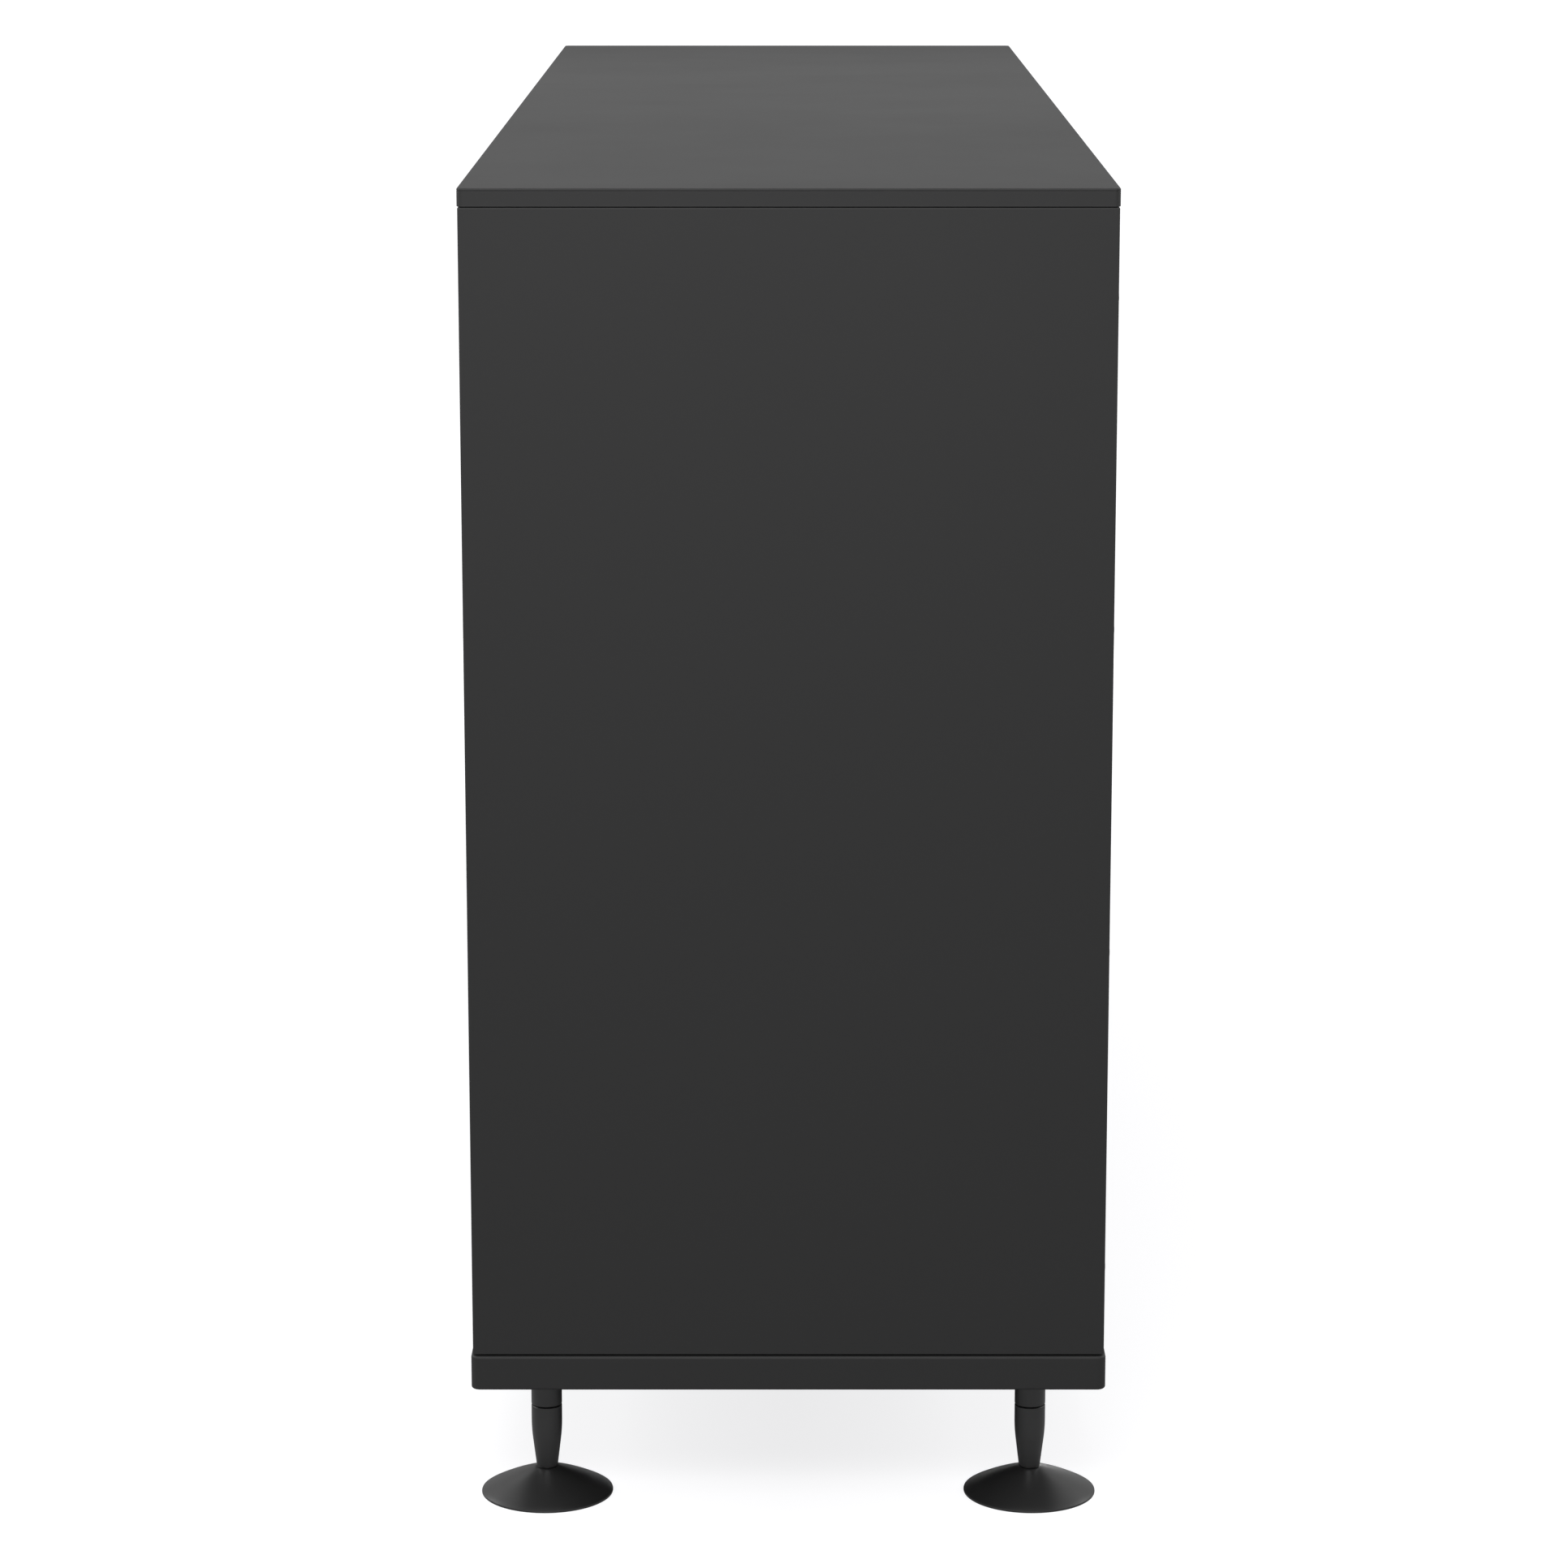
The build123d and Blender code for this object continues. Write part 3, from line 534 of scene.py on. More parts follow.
@dataclass(frozen=True)
class PlainBeech(Finish):
    """Unfinished turned beech."""

    dark: Colour
    streaked: Span = (0.35, 0.65)
    streak_share: float = 0.7
    rough_span: Span = (0.55, 0.75)
    depth: float = 0.05 * MM
    strength: float = 0.4

    def dress(self, coat: Coat) -> None:
        """Adds grain and flecks.

        Args:
            coat: the material that is being made.
        """
        tree, effects = coat.tree, coat.effects
        grain = coat.use(effects.grain)
        streak = tree.remap(grain["Grain"], self.streaked, 0.0, self.streak_share)
        mask = tree.maths("MAXIMUM", streak, grain["Fleck"])
        coat.link("Base Color", tree.mix(mask, self.colour, self.dark))
        coat.link("Roughness", tree.remap(grain["Grain"], (0.0, 1.0), *self.rough_span))
        coat.bump(grain["Grain"], self.depth, self.strength)


FINISHES: dict[Slot, Finish] = {
    Slot.LACQUER: MatteLacquer(
        "matte_black_lacquer", grey(0.018), 0.64,
        edge_wear_and_highlight_colour=grey(0.030), dust_amount=0.015, specular=0.32, grain=900.0, depth=0.05 * MM,
    ),
    Slot.LEG_COAT: MatteLacquer(
        "powder_coated_leg", grey(0.010), 0.36,
        edge_wear_and_highlight_colour=grey(0.024), dust_amount=0.01, specular=0.8, grain=1500.0, depth=0.04 * MM,
    ),
    Slot.BACK_FOIL: MatteLacquer(
        "black_back_foil", grey(0.020), 0.58,
        edge_wear_and_highlight_colour=grey(0.045), dust_amount=0.02, specular=0.35, grain=420.0, depth=0.06 * MM,
    ),
    Slot.BLACK_PLASTIC: MatteLacquer(
        "black_extrusion", grey(0.014), 0.44,
        edge_wear_and_highlight_colour=grey(0.024), dust_amount=0.02, specular=0.5, grain=600.0, depth=0.03 * MM,
    ),
    Slot.DRAWER_LINING: LinenFoil("charcoal_linen_foil", grey(0.050), 0.55, thread_colour=grey(0.105)),
    Slot.RUNNER_STEEL: ZincMetal("zinc_strip_steel", grey(0.56), 0.34, pale=grey(0.68), crystal=190.0),
    Slot.ZINC_STEEL: ZincMetal(
        "zinc_plated_screw", (0.60, 0.59, 0.55, 1.0), 0.30, pale=grey(0.72), crystal=700.0
    ),
    Slot.ZINC_CASTING: ZincMetal("raw_zinc_casting", grey(0.46), 0.46, pale=grey(0.56), crystal=500.0),
    Slot.BEECH: PlainBeech("turned_beech", (0.58, 0.38, 0.21, 1.0), 0.65, dark=(0.44, 0.27, 0.13, 1.0)),
}


# ---------------------------------------------------------------- modelling


def select_only(*pieces: Piece) -> None:
    """Deselects everything, then selects the given pieces.

    Args:
        pieces: what to select. The last one becomes active.
    """
    bpy.ops.object.select_all(action="DESELECT")
    for piece in pieces:
        piece.select_set(True)
        bpy.context.view_layer.objects.active = piece


def turned(name: str, rings: Sequence[Ring], centre: tuple[float, float], sides: int = 64) -> Piece:
    """Turns a solid of revolution about a vertical axis, ring by ring, from its lowest face up.

    Args:
        name: the piece's name.
        rings: (radius, height) of each ring, in order along the profile. The first and the last
            close the piece with a flat face.
        centre: X and Y of the axis.
        sides: how many sides each ring has.

    Returns:
        The closed, smooth piece.
    """
    bpy.ops.object.select_all(action="DESELECT")
    radius, height = rings[0]
    bpy.ops.mesh.primitive_circle_add(
        vertices=sides, radius=radius, fill_type="NGON", location=(*centre, height), enter_editmode=True
    )
    bpy.ops.mesh.select_all(action="SELECT")
    for next_radius, next_height in rings[1:]:
        bpy.ops.mesh.extrude_region_move(TRANSFORM_OT_translate={"value": (0, 0, next_height - height)})
        scale = next_radius / radius
        bpy.ops.transform.resize(value=(scale, scale, 1), center_override=(*centre, next_height))
        radius, height = next_radius, next_height
    bpy.ops.mesh.select_all(action="SELECT")
    bpy.ops.mesh.normals_make_consistent(inside=False)
    bpy.ops.object.mode_set(mode="OBJECT")
    return settle(bpy.context.object, name)


def settle(piece: Piece, name: str) -> Piece:
    """Names a piece, applies its transform and smooths what is round.

    Args:
        piece: the piece.
        name: its name.

    Returns:
        The same piece.
    """
    piece.name = name
    piece.data.name = name
    select_only(piece)
    bpy.ops.object.transform_apply(location=True, rotation=True, scale=True)
    bpy.ops.object.shade_smooth_by_angle(angle=SMOOTH_ANGLE)
    return piece


def choose_faces(piece: Piece, wanted: Any) -> None:
    """Selects only some faces of a piece that is in edit mode.

    Args:
        piece: the piece.
        wanted: a test of a face's (centre, normal).
    """
    bpy.ops.mesh.select_all(action="DESELECT")
    bpy.ops.mesh.select_mode(type="FACE")
    bpy.ops.object.mode_set(mode="OBJECT")
    for face in piece.data.polygons:
        face.select = bool(wanted(face.center, face.normal))
    bpy.ops.object.mode_set(mode="EDIT")


def copied(piece: Piece, name: str, move: Matrix) -> Piece:
    """Copies a piece with its own mesh and puts the copy in place.

    Args:
        piece: the piece to copy.
        name: the copy's name.
        move: where the copy goes, applied to its mesh.

    Returns:
        The copy.
    """
    twin = piece.copy()
    twin.data = piece.data.copy()
    twin.name = name
    twin.data.name = name
    bpy.context.scene.collection.objects.link(twin)
    twin.data.transform(move)
    if move.determinant() < 0:
        twin.data.flip_normals()
    return twin


def joined(pieces: Sequence[Piece], name: str) -> Piece:
    """Joins pieces into one object.

    Args:
        pieces: what to join.
        name: the joined object's name.

    Returns:
        The joined object.
    """
    select_only(*pieces)
    bpy.ops.object.join()
    made = bpy.context.object
    made.name = name
    made.data.name = name
    return made


def apply_modifiers(piece: Piece) -> None:
    """Applies every modifier on a piece, in order."""
    select_only(piece)
    for modifier in list(piece.modifiers):
        bpy.ops.object.modifier_apply(modifier=modifier.name)


def middle_of(node: str) -> tuple[float, float]:
    """X and Y of the middle of a node."""
    low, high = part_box(node)
    return ((low.x + high.x) / 2, (low.y + high.y) / 2)


def quarter_turn(steps: int) -> list[tuple[float, float]]:
    """(sine, cosine) at each step of a quarter turn, from 0 to 90 degrees."""
    return [(math.sin(QUARTER * i / steps), math.cos(QUARTER * i / steps)) for i in range(steps + 1)]


@dataclass
class Workshop:
    """Gives pieces their finish, slot and body, and reports them."""

    materials: dict[Slot, bpy.types.Material]

    def fit(self, piece: Piece, body: str, slot: Slot, replaced: Iterable[str] = ()) -> None:
        """Finishes a new piece.

        Args:
            piece: the piece, in place.
            body: the body it moves with.
            slot: its finish.
            replaced: the CAD nodes it stands for.
        """
        piece.data.materials.clear()
        piece.data.materials.append(self.materials[slot])
        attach(piece, body)
        names = list(replaced)
        if names:
            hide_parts(*names)
        faces = len(piece.data.polygons)
        LOG.info("%s: %s faces, rides on %s, stands for %s", piece.name, faces, body, names)

    def dress_nodes(self, frame: dict[str, Any]) -> None:
        """Gives every CAD node the finish of its slot.
        """
        for part in frame["record"]["subparts"]:
            node = frame["nodes"][part["node"]]
            node.data.materials.clear()
            node.data.materials.append(self.materials[Slot(part["material_slot"])])
            LOG.info("%s: finished as %s", part["node"], part["material_slot"])


# ---------------------------------------------------------------- legs


@dataclass
class Leg:
    """One levelling leg: a tapered post on a wide, shallow disc."""

    place: LegPlace
    straight: float = 11 * MM  # cylindrical length under the seam
    flare: float = 15 * MM  # curved length between the cylinder and the cone
    flare_radius: float = 115 * MM
    toe: float = 7.4 * MM
    toe_round: float = 2.2 * MM
    toe_sink: float = 0.3 * MM  # how far the toe reaches into the disc
    lip_round: float = 0.7 * MM
    seam_gap: float = 0.5 * MM
    seam_share: float = 0.78  # share of the post's radius left in the seam
    end_share: float = 0.45  # share of the radius that the flat end faces have
    rim: float = 1.6 * MM
    rim_steps: int = 4
    rim_crest: Span = (0.3, 0.15)  # shares of the rim's rounding that ease its upper corner
    crown: float = 1.05 * MM
    neck: float = 7.6 * MM
    sole_recess: float = 0.5 * MM
    sole_margin: float = 4 * MM
    sole_share: float = 0.5  # share of the radius that the disc's flat middle has
    steps: int = 10
    disc_sides: int = 96

    def build(self, shop: Workshop) -> None:
        """Makes the post and the disc and fits them to the leg's body.

        Args:
            shop: the workshop.
        """
        place = self.place.value
        post_node, disc_node = f"leg_post_{place}", f"disc_foot_{place}"
        post = turned(f"turned_post_{place}", self.post_rings(post_node, disc_node), middle_of(post_node))
        shop.fit(post, f"leg_{place}", Slot.LEG_COAT, [post_node])
        disc_rings = self.disc_rings(disc_node)
        disc = turned(f"spun_disc_{place}", disc_rings, middle_of(disc_node), self.disc_sides)
        shop.fit(disc, f"leg_{place}", Slot.LEG_COAT, [disc_node])

    def post_rings(self, post_node: str, disc_node: str) -> list[Ring]:
        """The post's profile, from its toe on the disc up to the seam, with a rounded lip there.

        Args:
            post_node: the post's CAD node.
            disc_node: the disc's CAD node.

        Returns:
            The rings, from the lowest up.
        """
        low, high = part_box(post_node)
        radius = (high.x - low.x) / 2
        seam = high.z
        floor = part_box(disc_node)[1].z - self.toe_sink
        rings = [(self.toe * self.end_share, floor)]
        for sine, cosine in quarter_turn(self.steps):
            rings.append((self.toe - self.toe_round * (1 - sine), floor + self.toe_round * (1 - cosine)))
        flare_floor = seam - self.straight - self.flare
        for i in range(self.steps + 1):
            drop = self.flare * (1 - i / self.steps)
            bow = self.flare_radius - math.sqrt(self.flare_radius**2 - drop**2)
            rings.append((radius - bow, flare_floor + self.flare * i / self.steps))
        lip = seam - self.seam_gap
        for sine, cosine in quarter_turn(self.steps // 2):
            rings.append((radius - self.lip_round * (1 - cosine), lip - self.lip_round * (1 - sine)))
        inner = radius * self.seam_share
        return rings + [(inner, lip), (inner, seam), (radius * self.end_share, seam)]

    def disc_rings(self, node: str) -> list[Ring]:
        """The disc's profile: recessed sole, rounded rim, crowned slope and the flat under the post.

        Args:
            node: the disc's CAD node.

        Returns:
            The rings, from the sole outwards and up to the middle.
        """
        low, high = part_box(node)
        radius, top = (high.x - low.x) / 2, high.z
        inner = radius - self.sole_margin
        rings = [(inner * self.sole_share, self.sole_recess), (inner, self.sole_recess)]
        rings += [(inner + self.sole_recess, 0.0), *self.rim_rings(radius)]
        run, rise = radius - self.neck, top - self.rim
        chord = math.hypot(run, rise)
        for i in range(1, 2 * self.steps + 1):
            share = i / (2 * self.steps)
            bulge = 4 * self.crown * share * (1 - share)
            out, up = radius - run * share, self.rim + rise * share
            rings.append((out + bulge * rise / chord, up + bulge * run / chord))
        rings.append((self.neck * self.sole_share, top))
        return rings

    def rim_rings(self, radius: float) -> list[Ring]:
        """The rounded edge of the disc.

        Args:
            radius: the disc's radius.

        Returns:
            The rings, from the floor up to the top of the rim.
        """
        soft = self.rim / 3
        turns = quarter_turn(self.rim_steps)
        rings = [(radius - soft * (1 - sine), soft * (1 - cosine)) for sine, cosine in turns]
        inwards, down = self.rim_crest
        return rings + [(radius, self.rim - soft), (radius - soft * inwards, self.rim - soft * down)]


@dataclass
class LegHardware:
    """The collars under the base and the threaded studs that the posts turn on."""

    lip_round: float = 0.7 * MM
    bore: float = 0.5  # share of the collar's radius left inside its rounded lip
    pitch: float = 1.25 * MM
    thread_depth: float = 0.65 * MM
    steps: int = 5
    collar_sides: int = 96
    stud_sides: int = 24

    def build(self, shop: Workshop) -> None:
        """Makes all collars as one piece and all studs as another.

        Args:
            shop: the workshop.
        """
        centres = [middle_of(f"leg_post_{place.value}") for place in LegPlace]
        low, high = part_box("leg_collars")
        post_low, post_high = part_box(f"leg_post_{LegPlace.CENTRE.value}")
        radius = (post_high.x - post_low.x) / 2
        collar = turned("collar", self.collar_rings(radius, low.z, high.z), (0.0, 0.0), self.collar_sides)
        self.repeat(shop, collar, centres, "turned_collars", "leg_collars", Slot.LEG_COAT)
        low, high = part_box("leg_studs")
        stud_radius = high.x - max(x for x, _ in centres)
        stud = turned("stud", self.stud_rings(stud_radius, low.z, high.z), (0.0, 0.0), self.stud_sides)
        self.repeat(shop, stud, centres, "threaded_studs", "leg_studs", Slot.ZINC_STEEL)

    def repeat(
        self,
        shop: Workshop,
        piece: Piece,
        centres: Sequence[tuple[float, float]],
        name: str,
        node: str,
        slot: Slot,
    ) -> None:
        """Copies a piece to every leg, joins the copies and fits them to the carcass.

        Args:
            shop: the workshop.
            piece: the piece to copy, which is removed afterwards.
            centres: X and Y of each leg.
            name: the joined piece's name.
            node: the CAD node it stands for.
            slot: its finish.
        """
        moves = [Matrix.Translation((x, y, 0)) for x, y in centres]
        copies = [copied(piece, f"{name}_{i}", move) for i, move in enumerate(moves)]
        bpy.data.objects.remove(piece)
        shop.fit(joined(copies, name), "carcass", slot, [node])

    def collar_rings(self, radius: float, low: float, high: float) -> list[Ring]:
        """A straight collar with a rounded lower lip.

        Args:
            radius: the collar's radius.
            low: height of its lip.
            high: height of its upper face.

        Returns:
            The rings, from the lowest up.
        """
        rings = [(radius * self.bore, low)]
        for sine, cosine in quarter_turn(self.steps):
            rings.append((radius - self.lip_round * (1 - sine), low + self.lip_round * (1 - cosine)))
        return rings + [(radius, high), (radius * self.bore, high)]

    def stud_rings(self, radius: float, low: float, high: float) -> list[Ring]:
        """A stud with V threads all the way.

        Args:
            radius: radius over the threads.
            low: height of its lower end.
            high: height of its upper end.

        Returns:
            The rings, from the lowest up.
        """
        root = radius - self.thread_depth
        rings = [(root, low)]
        for i in range(int((high - low) / self.pitch)):
            rings += [(radius, low + (i + 0.5) * self.pitch), (root, low + (i + 1) * self.pitch)]
        rings.append((root, high))
        return rings


# ---------------------------------------------------------------- screws


@dataclass
class PanHead:
    """A pan-head screw's visible head, with a cross recess."""

    radius: float = 3.5 * MM
    height: float = 1.9 * MM
    seat_share: float = 0.9  # share of the radius that the head stands on
    brim_share: float = 0.25  # share of the height at which it is widest
    dome_steps: int = 5
    recess: float = 1.9 * MM
    recess_depth: float = 1.2 * MM
    mouth_share: float = 1.1  # where the dome ends, as a share of the recess
    floor_share: float = 0.8  # the recess's floor, as a share of its mouth
    web_share: float = 0.42  # how far out the recess reaches between its arms
    arm_sharpness: int = 6
    sides: int = 32

    def master(self) -> Piece:
        """Makes one head at the origin, standing on z = 0 and facing +Z.

        Returns:
            The head.
        """
        mouth = self.recess * self.mouth_share
        brim = self.brim_share
        rings = [(self.radius * self.seat_share, 0.0), (self.radius, brim * self.height)]
        for sine, cosine in quarter_turn(self.dome_steps)[1:]:
            rings.append((mouth + (self.radius - mouth) * cosine, self.height * (brim + (1 - brim) * sine)))
        rings.append((self.recess, self.height))
        rings.append((self.recess * self.floor_share, self.height - self.recess_depth))
        head = turned("pan_head", rings, (0.0, 0.0), self.sides)
        self.cut_cross(head)
        return head

    def cut_cross(self, head: Piece) -> None:
        """Draws the recess in between its four arms, on its mouth and on its floor alike.

        Args:
            head: the head, with a round recess.
        """
        just_past = 1.01
        for corner in head.data.vertices:
            if math.hypot(corner.co.x, corner.co.y) < self.recess * just_past:
                angle = math.atan2(corner.co.y, corner.co.x)
                arm = math.cos(2 * angle) ** self.arm_sharpness
                pinch = self.web_share + (1 - self.web_share) * arm
                corner.co.x *= pinch
                corner.co.y *= pinch


HEAD_TURN = math.radians(37)  # how much each head's recess is turned past the one before


def heads_at(master: Piece, places: Sequence[Spot], name: str) -> Piece:
    """Copies a screw head to many places and joins the copies.

    Args:
        master: the head to copy.
        places: where each head sits and the way it faces.
        name: the joined piece's name.

    Returns:
        The joined heads.
    """
    copies = []
    for i, (place, facing) in enumerate(places):
        turn = facing.to_track_quat("Z", "Y").to_matrix().to_4x4()
        spin = Matrix.Rotation(HEAD_TURN * i, 4, "Z")
        copies.append(copied(master, f"{name}_{i}", Matrix.Translation(place) @ turn @ spin))
    return joined(copies, name)


@dataclass
class BackScrews:
    """The pan-head screws that hold the back panels."""

    per_edge: int = 4
    per_rail: int = 3
    edge_margin: float = 60 * MM
    rail_margin: float = 120 * MM
    rebate: float = 9 * MM

    def build(self, shop: Workshop, master: Piece) -> None:
        """Makes the heads on the back face.

        Args:
            shop: the workshop.
            master: the head to copy.
        """
        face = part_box("back_panel_left")[1].y
        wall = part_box("grip_rails")[1].x
        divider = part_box("centre_divider")[1].x
        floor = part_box("end_panel_left")[0].z
        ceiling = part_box("end_panel_left")[1].z
        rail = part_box("rear_top_rails")
        spots = []
        for side in (-1, 1):
            for i in range(self.per_edge):
                share = i / (self.per_edge - 1)
                z = floor + self.edge_margin + (ceiling - floor - 2 * self.edge_margin) * share
                spots.append((side * (wall + self.rebate / 2), z))
            for i in range(self.per_rail):
                share = i / (self.per_rail - 1)
                x = divider + self.rail_margin + (wall - divider - 2 * self.rail_margin) * share
                spots.append((side * x, (rail[0].z + rail[1].z) / 2))
        places = [(Vector((x, face, z)), Vector((0, 1, 0))) for x, z in spots]
        heads = heads_at(master, places, "back_screw_heads")
        shop.fit(heads, "carcass", Slot.ZINC_STEEL, ["back_screws"])


# ---------------------------------------------------------------- slides


@dataclass
class SlideMember:
    """One pressed member of a ball slide: a C section with rounded folds and slots in its web."""

    wall: float = 1.2 * MM
    fold: float = 1.6 * MM
    fold_segments: int = 4
    fold_angle: float = math.radians(60)  # edges sharper than this are folds
    ease: float = 0.25 * MM
    ease_segments: int = 2
    ease_angle: float = math.radians(50)  # edges sharper than this are eased
    slots: int = 3
    slot_length: float = 16 * MM
    slot_height: float = 5 * MM

    def master(self, name: str, low: Vector, high: Vector, opens: int) -> Piece:
        """Makes one member.

        Args:
            name: the piece's name.
            low: lowest corner of the member's envelope.
            high: highest corner.
            opens: +1 when the open side of the C faces +X, or -1.

        Returns:
            The member as a closed pressed sheet.
        """
        bpy.ops.object.select_all(action="DESELECT")
        middle = (low + high) / 2
        bpy.ops.mesh.primitive_cube_add(size=1, location=middle, scale=high - low)
        member = settle(bpy.context.object, name)
        bpy.ops.object.mode_set(mode="EDIT")
        cuts = [((middle.x, y, middle.z), (0, 1, 0)) for y in self.slot_ends(low.y, high.y)]
        for side in (-1, 1):
            z = middle.z + side * self.slot_height / 2
            cuts.append(((middle.x, middle.y, z), (0, 0, 1)))
        for place, normal in cuts:
            bpy.ops.mesh.select_all(action="SELECT")
            bpy.ops.mesh.bisect(plane_co=place, plane_no=normal)
        web_x = low.x if opens > 0 else high.x
        slot_middles = self.slot_middles(low.y, high.y)
        squarely, touching = 0.9, 0.1 * MM

        def unwanted(centre: Vector, normal: Vector) -> bool:
            """The open side, the two ends and the slots in the web."""
            if abs(normal.y) > squarely or normal.x * opens > squarely:
                return True
            in_web = abs(centre.x - web_x) < touching and abs(centre.z - middle.z) < self.slot_height / 4
            return in_web and any(abs(centre.y - y) < self.slot_length / 4 for y in slot_middles)

        choose_faces(member, unwanted)
        bpy.ops.mesh.delete(type="FACE")
        bpy.ops.object.mode_set(mode="OBJECT")
        self.fold_and_thicken(member)
        return settle(member, name)

    def slot_middles(self, low: float, high: float) -> list[float]:
        """Y of the middle of each slot."""
        return [low + (high - low) * (i + 0.5) / self.slots for i in range(self.slots)]

    def slot_ends(self, low: float, high: float) -> list[float]:
        """Y of both ends of each slot."""
        half = self.slot_length / 2
        return [middle + side * half for middle in self.slot_middles(low, high) for side in (-1, 1)]

    def fold_and_thicken(self, member: Piece) -> None:
        """Rounds the two long folds, gives the sheet its thickness inwards and eases its edges.

        Args:
            member: the member as a bare sheet.
        """
        select_only(member)
        bpy.ops.object.mode_set(mode="EDIT")
        bpy.ops.mesh.select_all(action="DESELECT")
        bpy.ops.mesh.select_mode(type="EDGE")
        bpy.ops.mesh.edges_select_sharp(sharpness=self.fold_angle)
        bpy.ops.mesh.bevel(offset=self.fold, segments=self.fold_segments)
        bpy.ops.object.mode_set(mode="OBJECT")
        thick = member.modifiers.new("thickness", "SOLIDIFY")
        thick.thickness = self.wall
        thick.offset = -1.0
        ease = member.modifiers.new("ease", "BEVEL")
        ease.width = self.ease
        ease.segments = self.ease_segments
        ease.limit_method = "ANGLE"
        ease.angle_limit = self.ease_angle
        apply_modifiers(member)


@dataclass
class Slides:
    """Every ball slide: outer members on the carcass, middle members and inner members."""

    space: float = 12.5 * MM
    outer_depth: float = 9.4 * MM
    outer_margin: float = 1.5 * MM  # how far an outer member reaches past a middle one, up and down
    middle_reach: float = 1.6 * MM  # how far a middle member stands out of an outer one
    inner_start: float = 5.2 * MM  # from the wall to the near edge of an inner member
    member: SlideMember = field(default_factory=SlideMember)
    screw_shares: Span = (0.06, 0.94)

    def build(self, shop: Workshop, head: Piece) -> None:
        """Makes one member of each kind and copies it to every slide.

        Args:
            shop: the workshop.
            head: the screw head to copy.
        """
        masters = self.masters()
        for column in Column:
            outers = []
            for row in Row:
                key = f"{column.value}_{row.value}"
                outers += self.pair(masters["outer"], f"slide_outer_{key}", column, row)
                for kind, body in (("middle", f"slide_middle_{key}"), ("inner", f"drawer_{key}")):
                    name = f"slide_{kind}_{key}"
                    both = joined(self.pair(masters[kind], name, column, row), name)
                    shop.fit(both, body, Slot.RUNNER_STEEL, [f"runner_{kind}_{key}"])
                screws = heads_at(head, self.inner_screws(column, row), f"slide_screws_{key}")
                shop.fit(screws, f"drawer_{key}", Slot.ZINC_STEEL)
            whole = joined(outers, f"slide_outers_{column.value}_column")
            shop.fit(whole, "carcass", Slot.RUNNER_STEEL, [f"runner_outers_{column.value}_column"])
        for piece in masters.values():
            bpy.data.objects.remove(piece)

    def masters(self) -> dict[str, Piece]:
        """Makes one member of each kind, for a left wall at x = 0, centred on y = 0 and z = 0.

        Returns:
            The members by kind.
        """
        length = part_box("runner_inner_left_bottom")[1].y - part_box("runner_inner_left_bottom")[0].y
        middle_half = self.half_height("runner_middle_left_bottom")
        inner_half = self.half_height("runner_inner_left_bottom")
        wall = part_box("runner_outers_left_column")[0].x
        middle_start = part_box("runner_middle_left_bottom")[0].x - wall
        inner_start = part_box("runner_inner_left_bottom")[0].x - wall
        spans = {
            "outer": (0.0, self.outer_depth, middle_half + self.outer_margin, 1),
            "middle": (middle_start, self.outer_depth + self.middle_reach, middle_half, 1),
            "inner": (inner_start, self.space, inner_half, -1),
        }
        made = {}
        for kind, (start, end, half, opens) in spans.items():
            low, high = Vector((start, -length / 2, -half)), Vector((end, length / 2, half))
            made[kind] = self.member.master(f"slide_{kind}", low, high, opens)
        return made

    @staticmethod
    def half_height(node: str) -> float:
        """Half the height of a member."""
        low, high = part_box(node)
        return (high.z - low.z) / 2

    def frames(self, column: Column, row: Row) -> list[Matrix]:
        """Where the left and the right slide of a drawer go.

        Args:
            column: the drawer's column.
            row: the drawer's row.

        Returns:
            The left slide's place, and the right slide's, which is mirrored.
        """
        node = f"runner_inner_{column.value}_{row.value}"
        low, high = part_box(node)
        inner_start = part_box("runner_inner_left_bottom")[0].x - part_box("runner_outers_left_column")[0].x
        y, z = (low.y + high.y) / 2, (low.z + high.z) / 2
        mirror = Matrix.Diagonal((-1, 1, 1, 1))
        left = Matrix.Translation((low.x - inner_start, y, z))
        right = Matrix.Translation((high.x + inner_start, y, z)) @ mirror
        return [left, right]

    def pair(self, master: Piece, name: str, column: Column, row: Row) -> list[Piece]:
        """The left and the right copy of a member for one drawer."""
        frames = self.frames(column, row)
        return [copied(master, f"{name}_{i}", frame) for i, frame in enumerate(frames)]

    def inner_screws(self, column: Column, row: Row) -> list[Spot]:
        """The screws that hold the inner members to the drawer box.

        Args:
            column: the drawer's column.
            row: the drawer's row.

        Returns:
            Where each screw sits and the way it faces.
        """
        low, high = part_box(f"runner_inner_{column.value}_{row.value}")
        z = (low.z + high.z) / 2
        reach = self.space - self.inner_start - self.member.wall
        places = []
        for share in self.screw_shares:
            y = low.y + (high.y - low.y) * share
            places.append((Vector((low.x + reach, y, z)), Vector((-1, 0, 0))))
            places.append((Vector((high.x - reach, y, z)), Vector((1, 0, 0))))
        return places


# ---------------------------------------------------------------- drawers


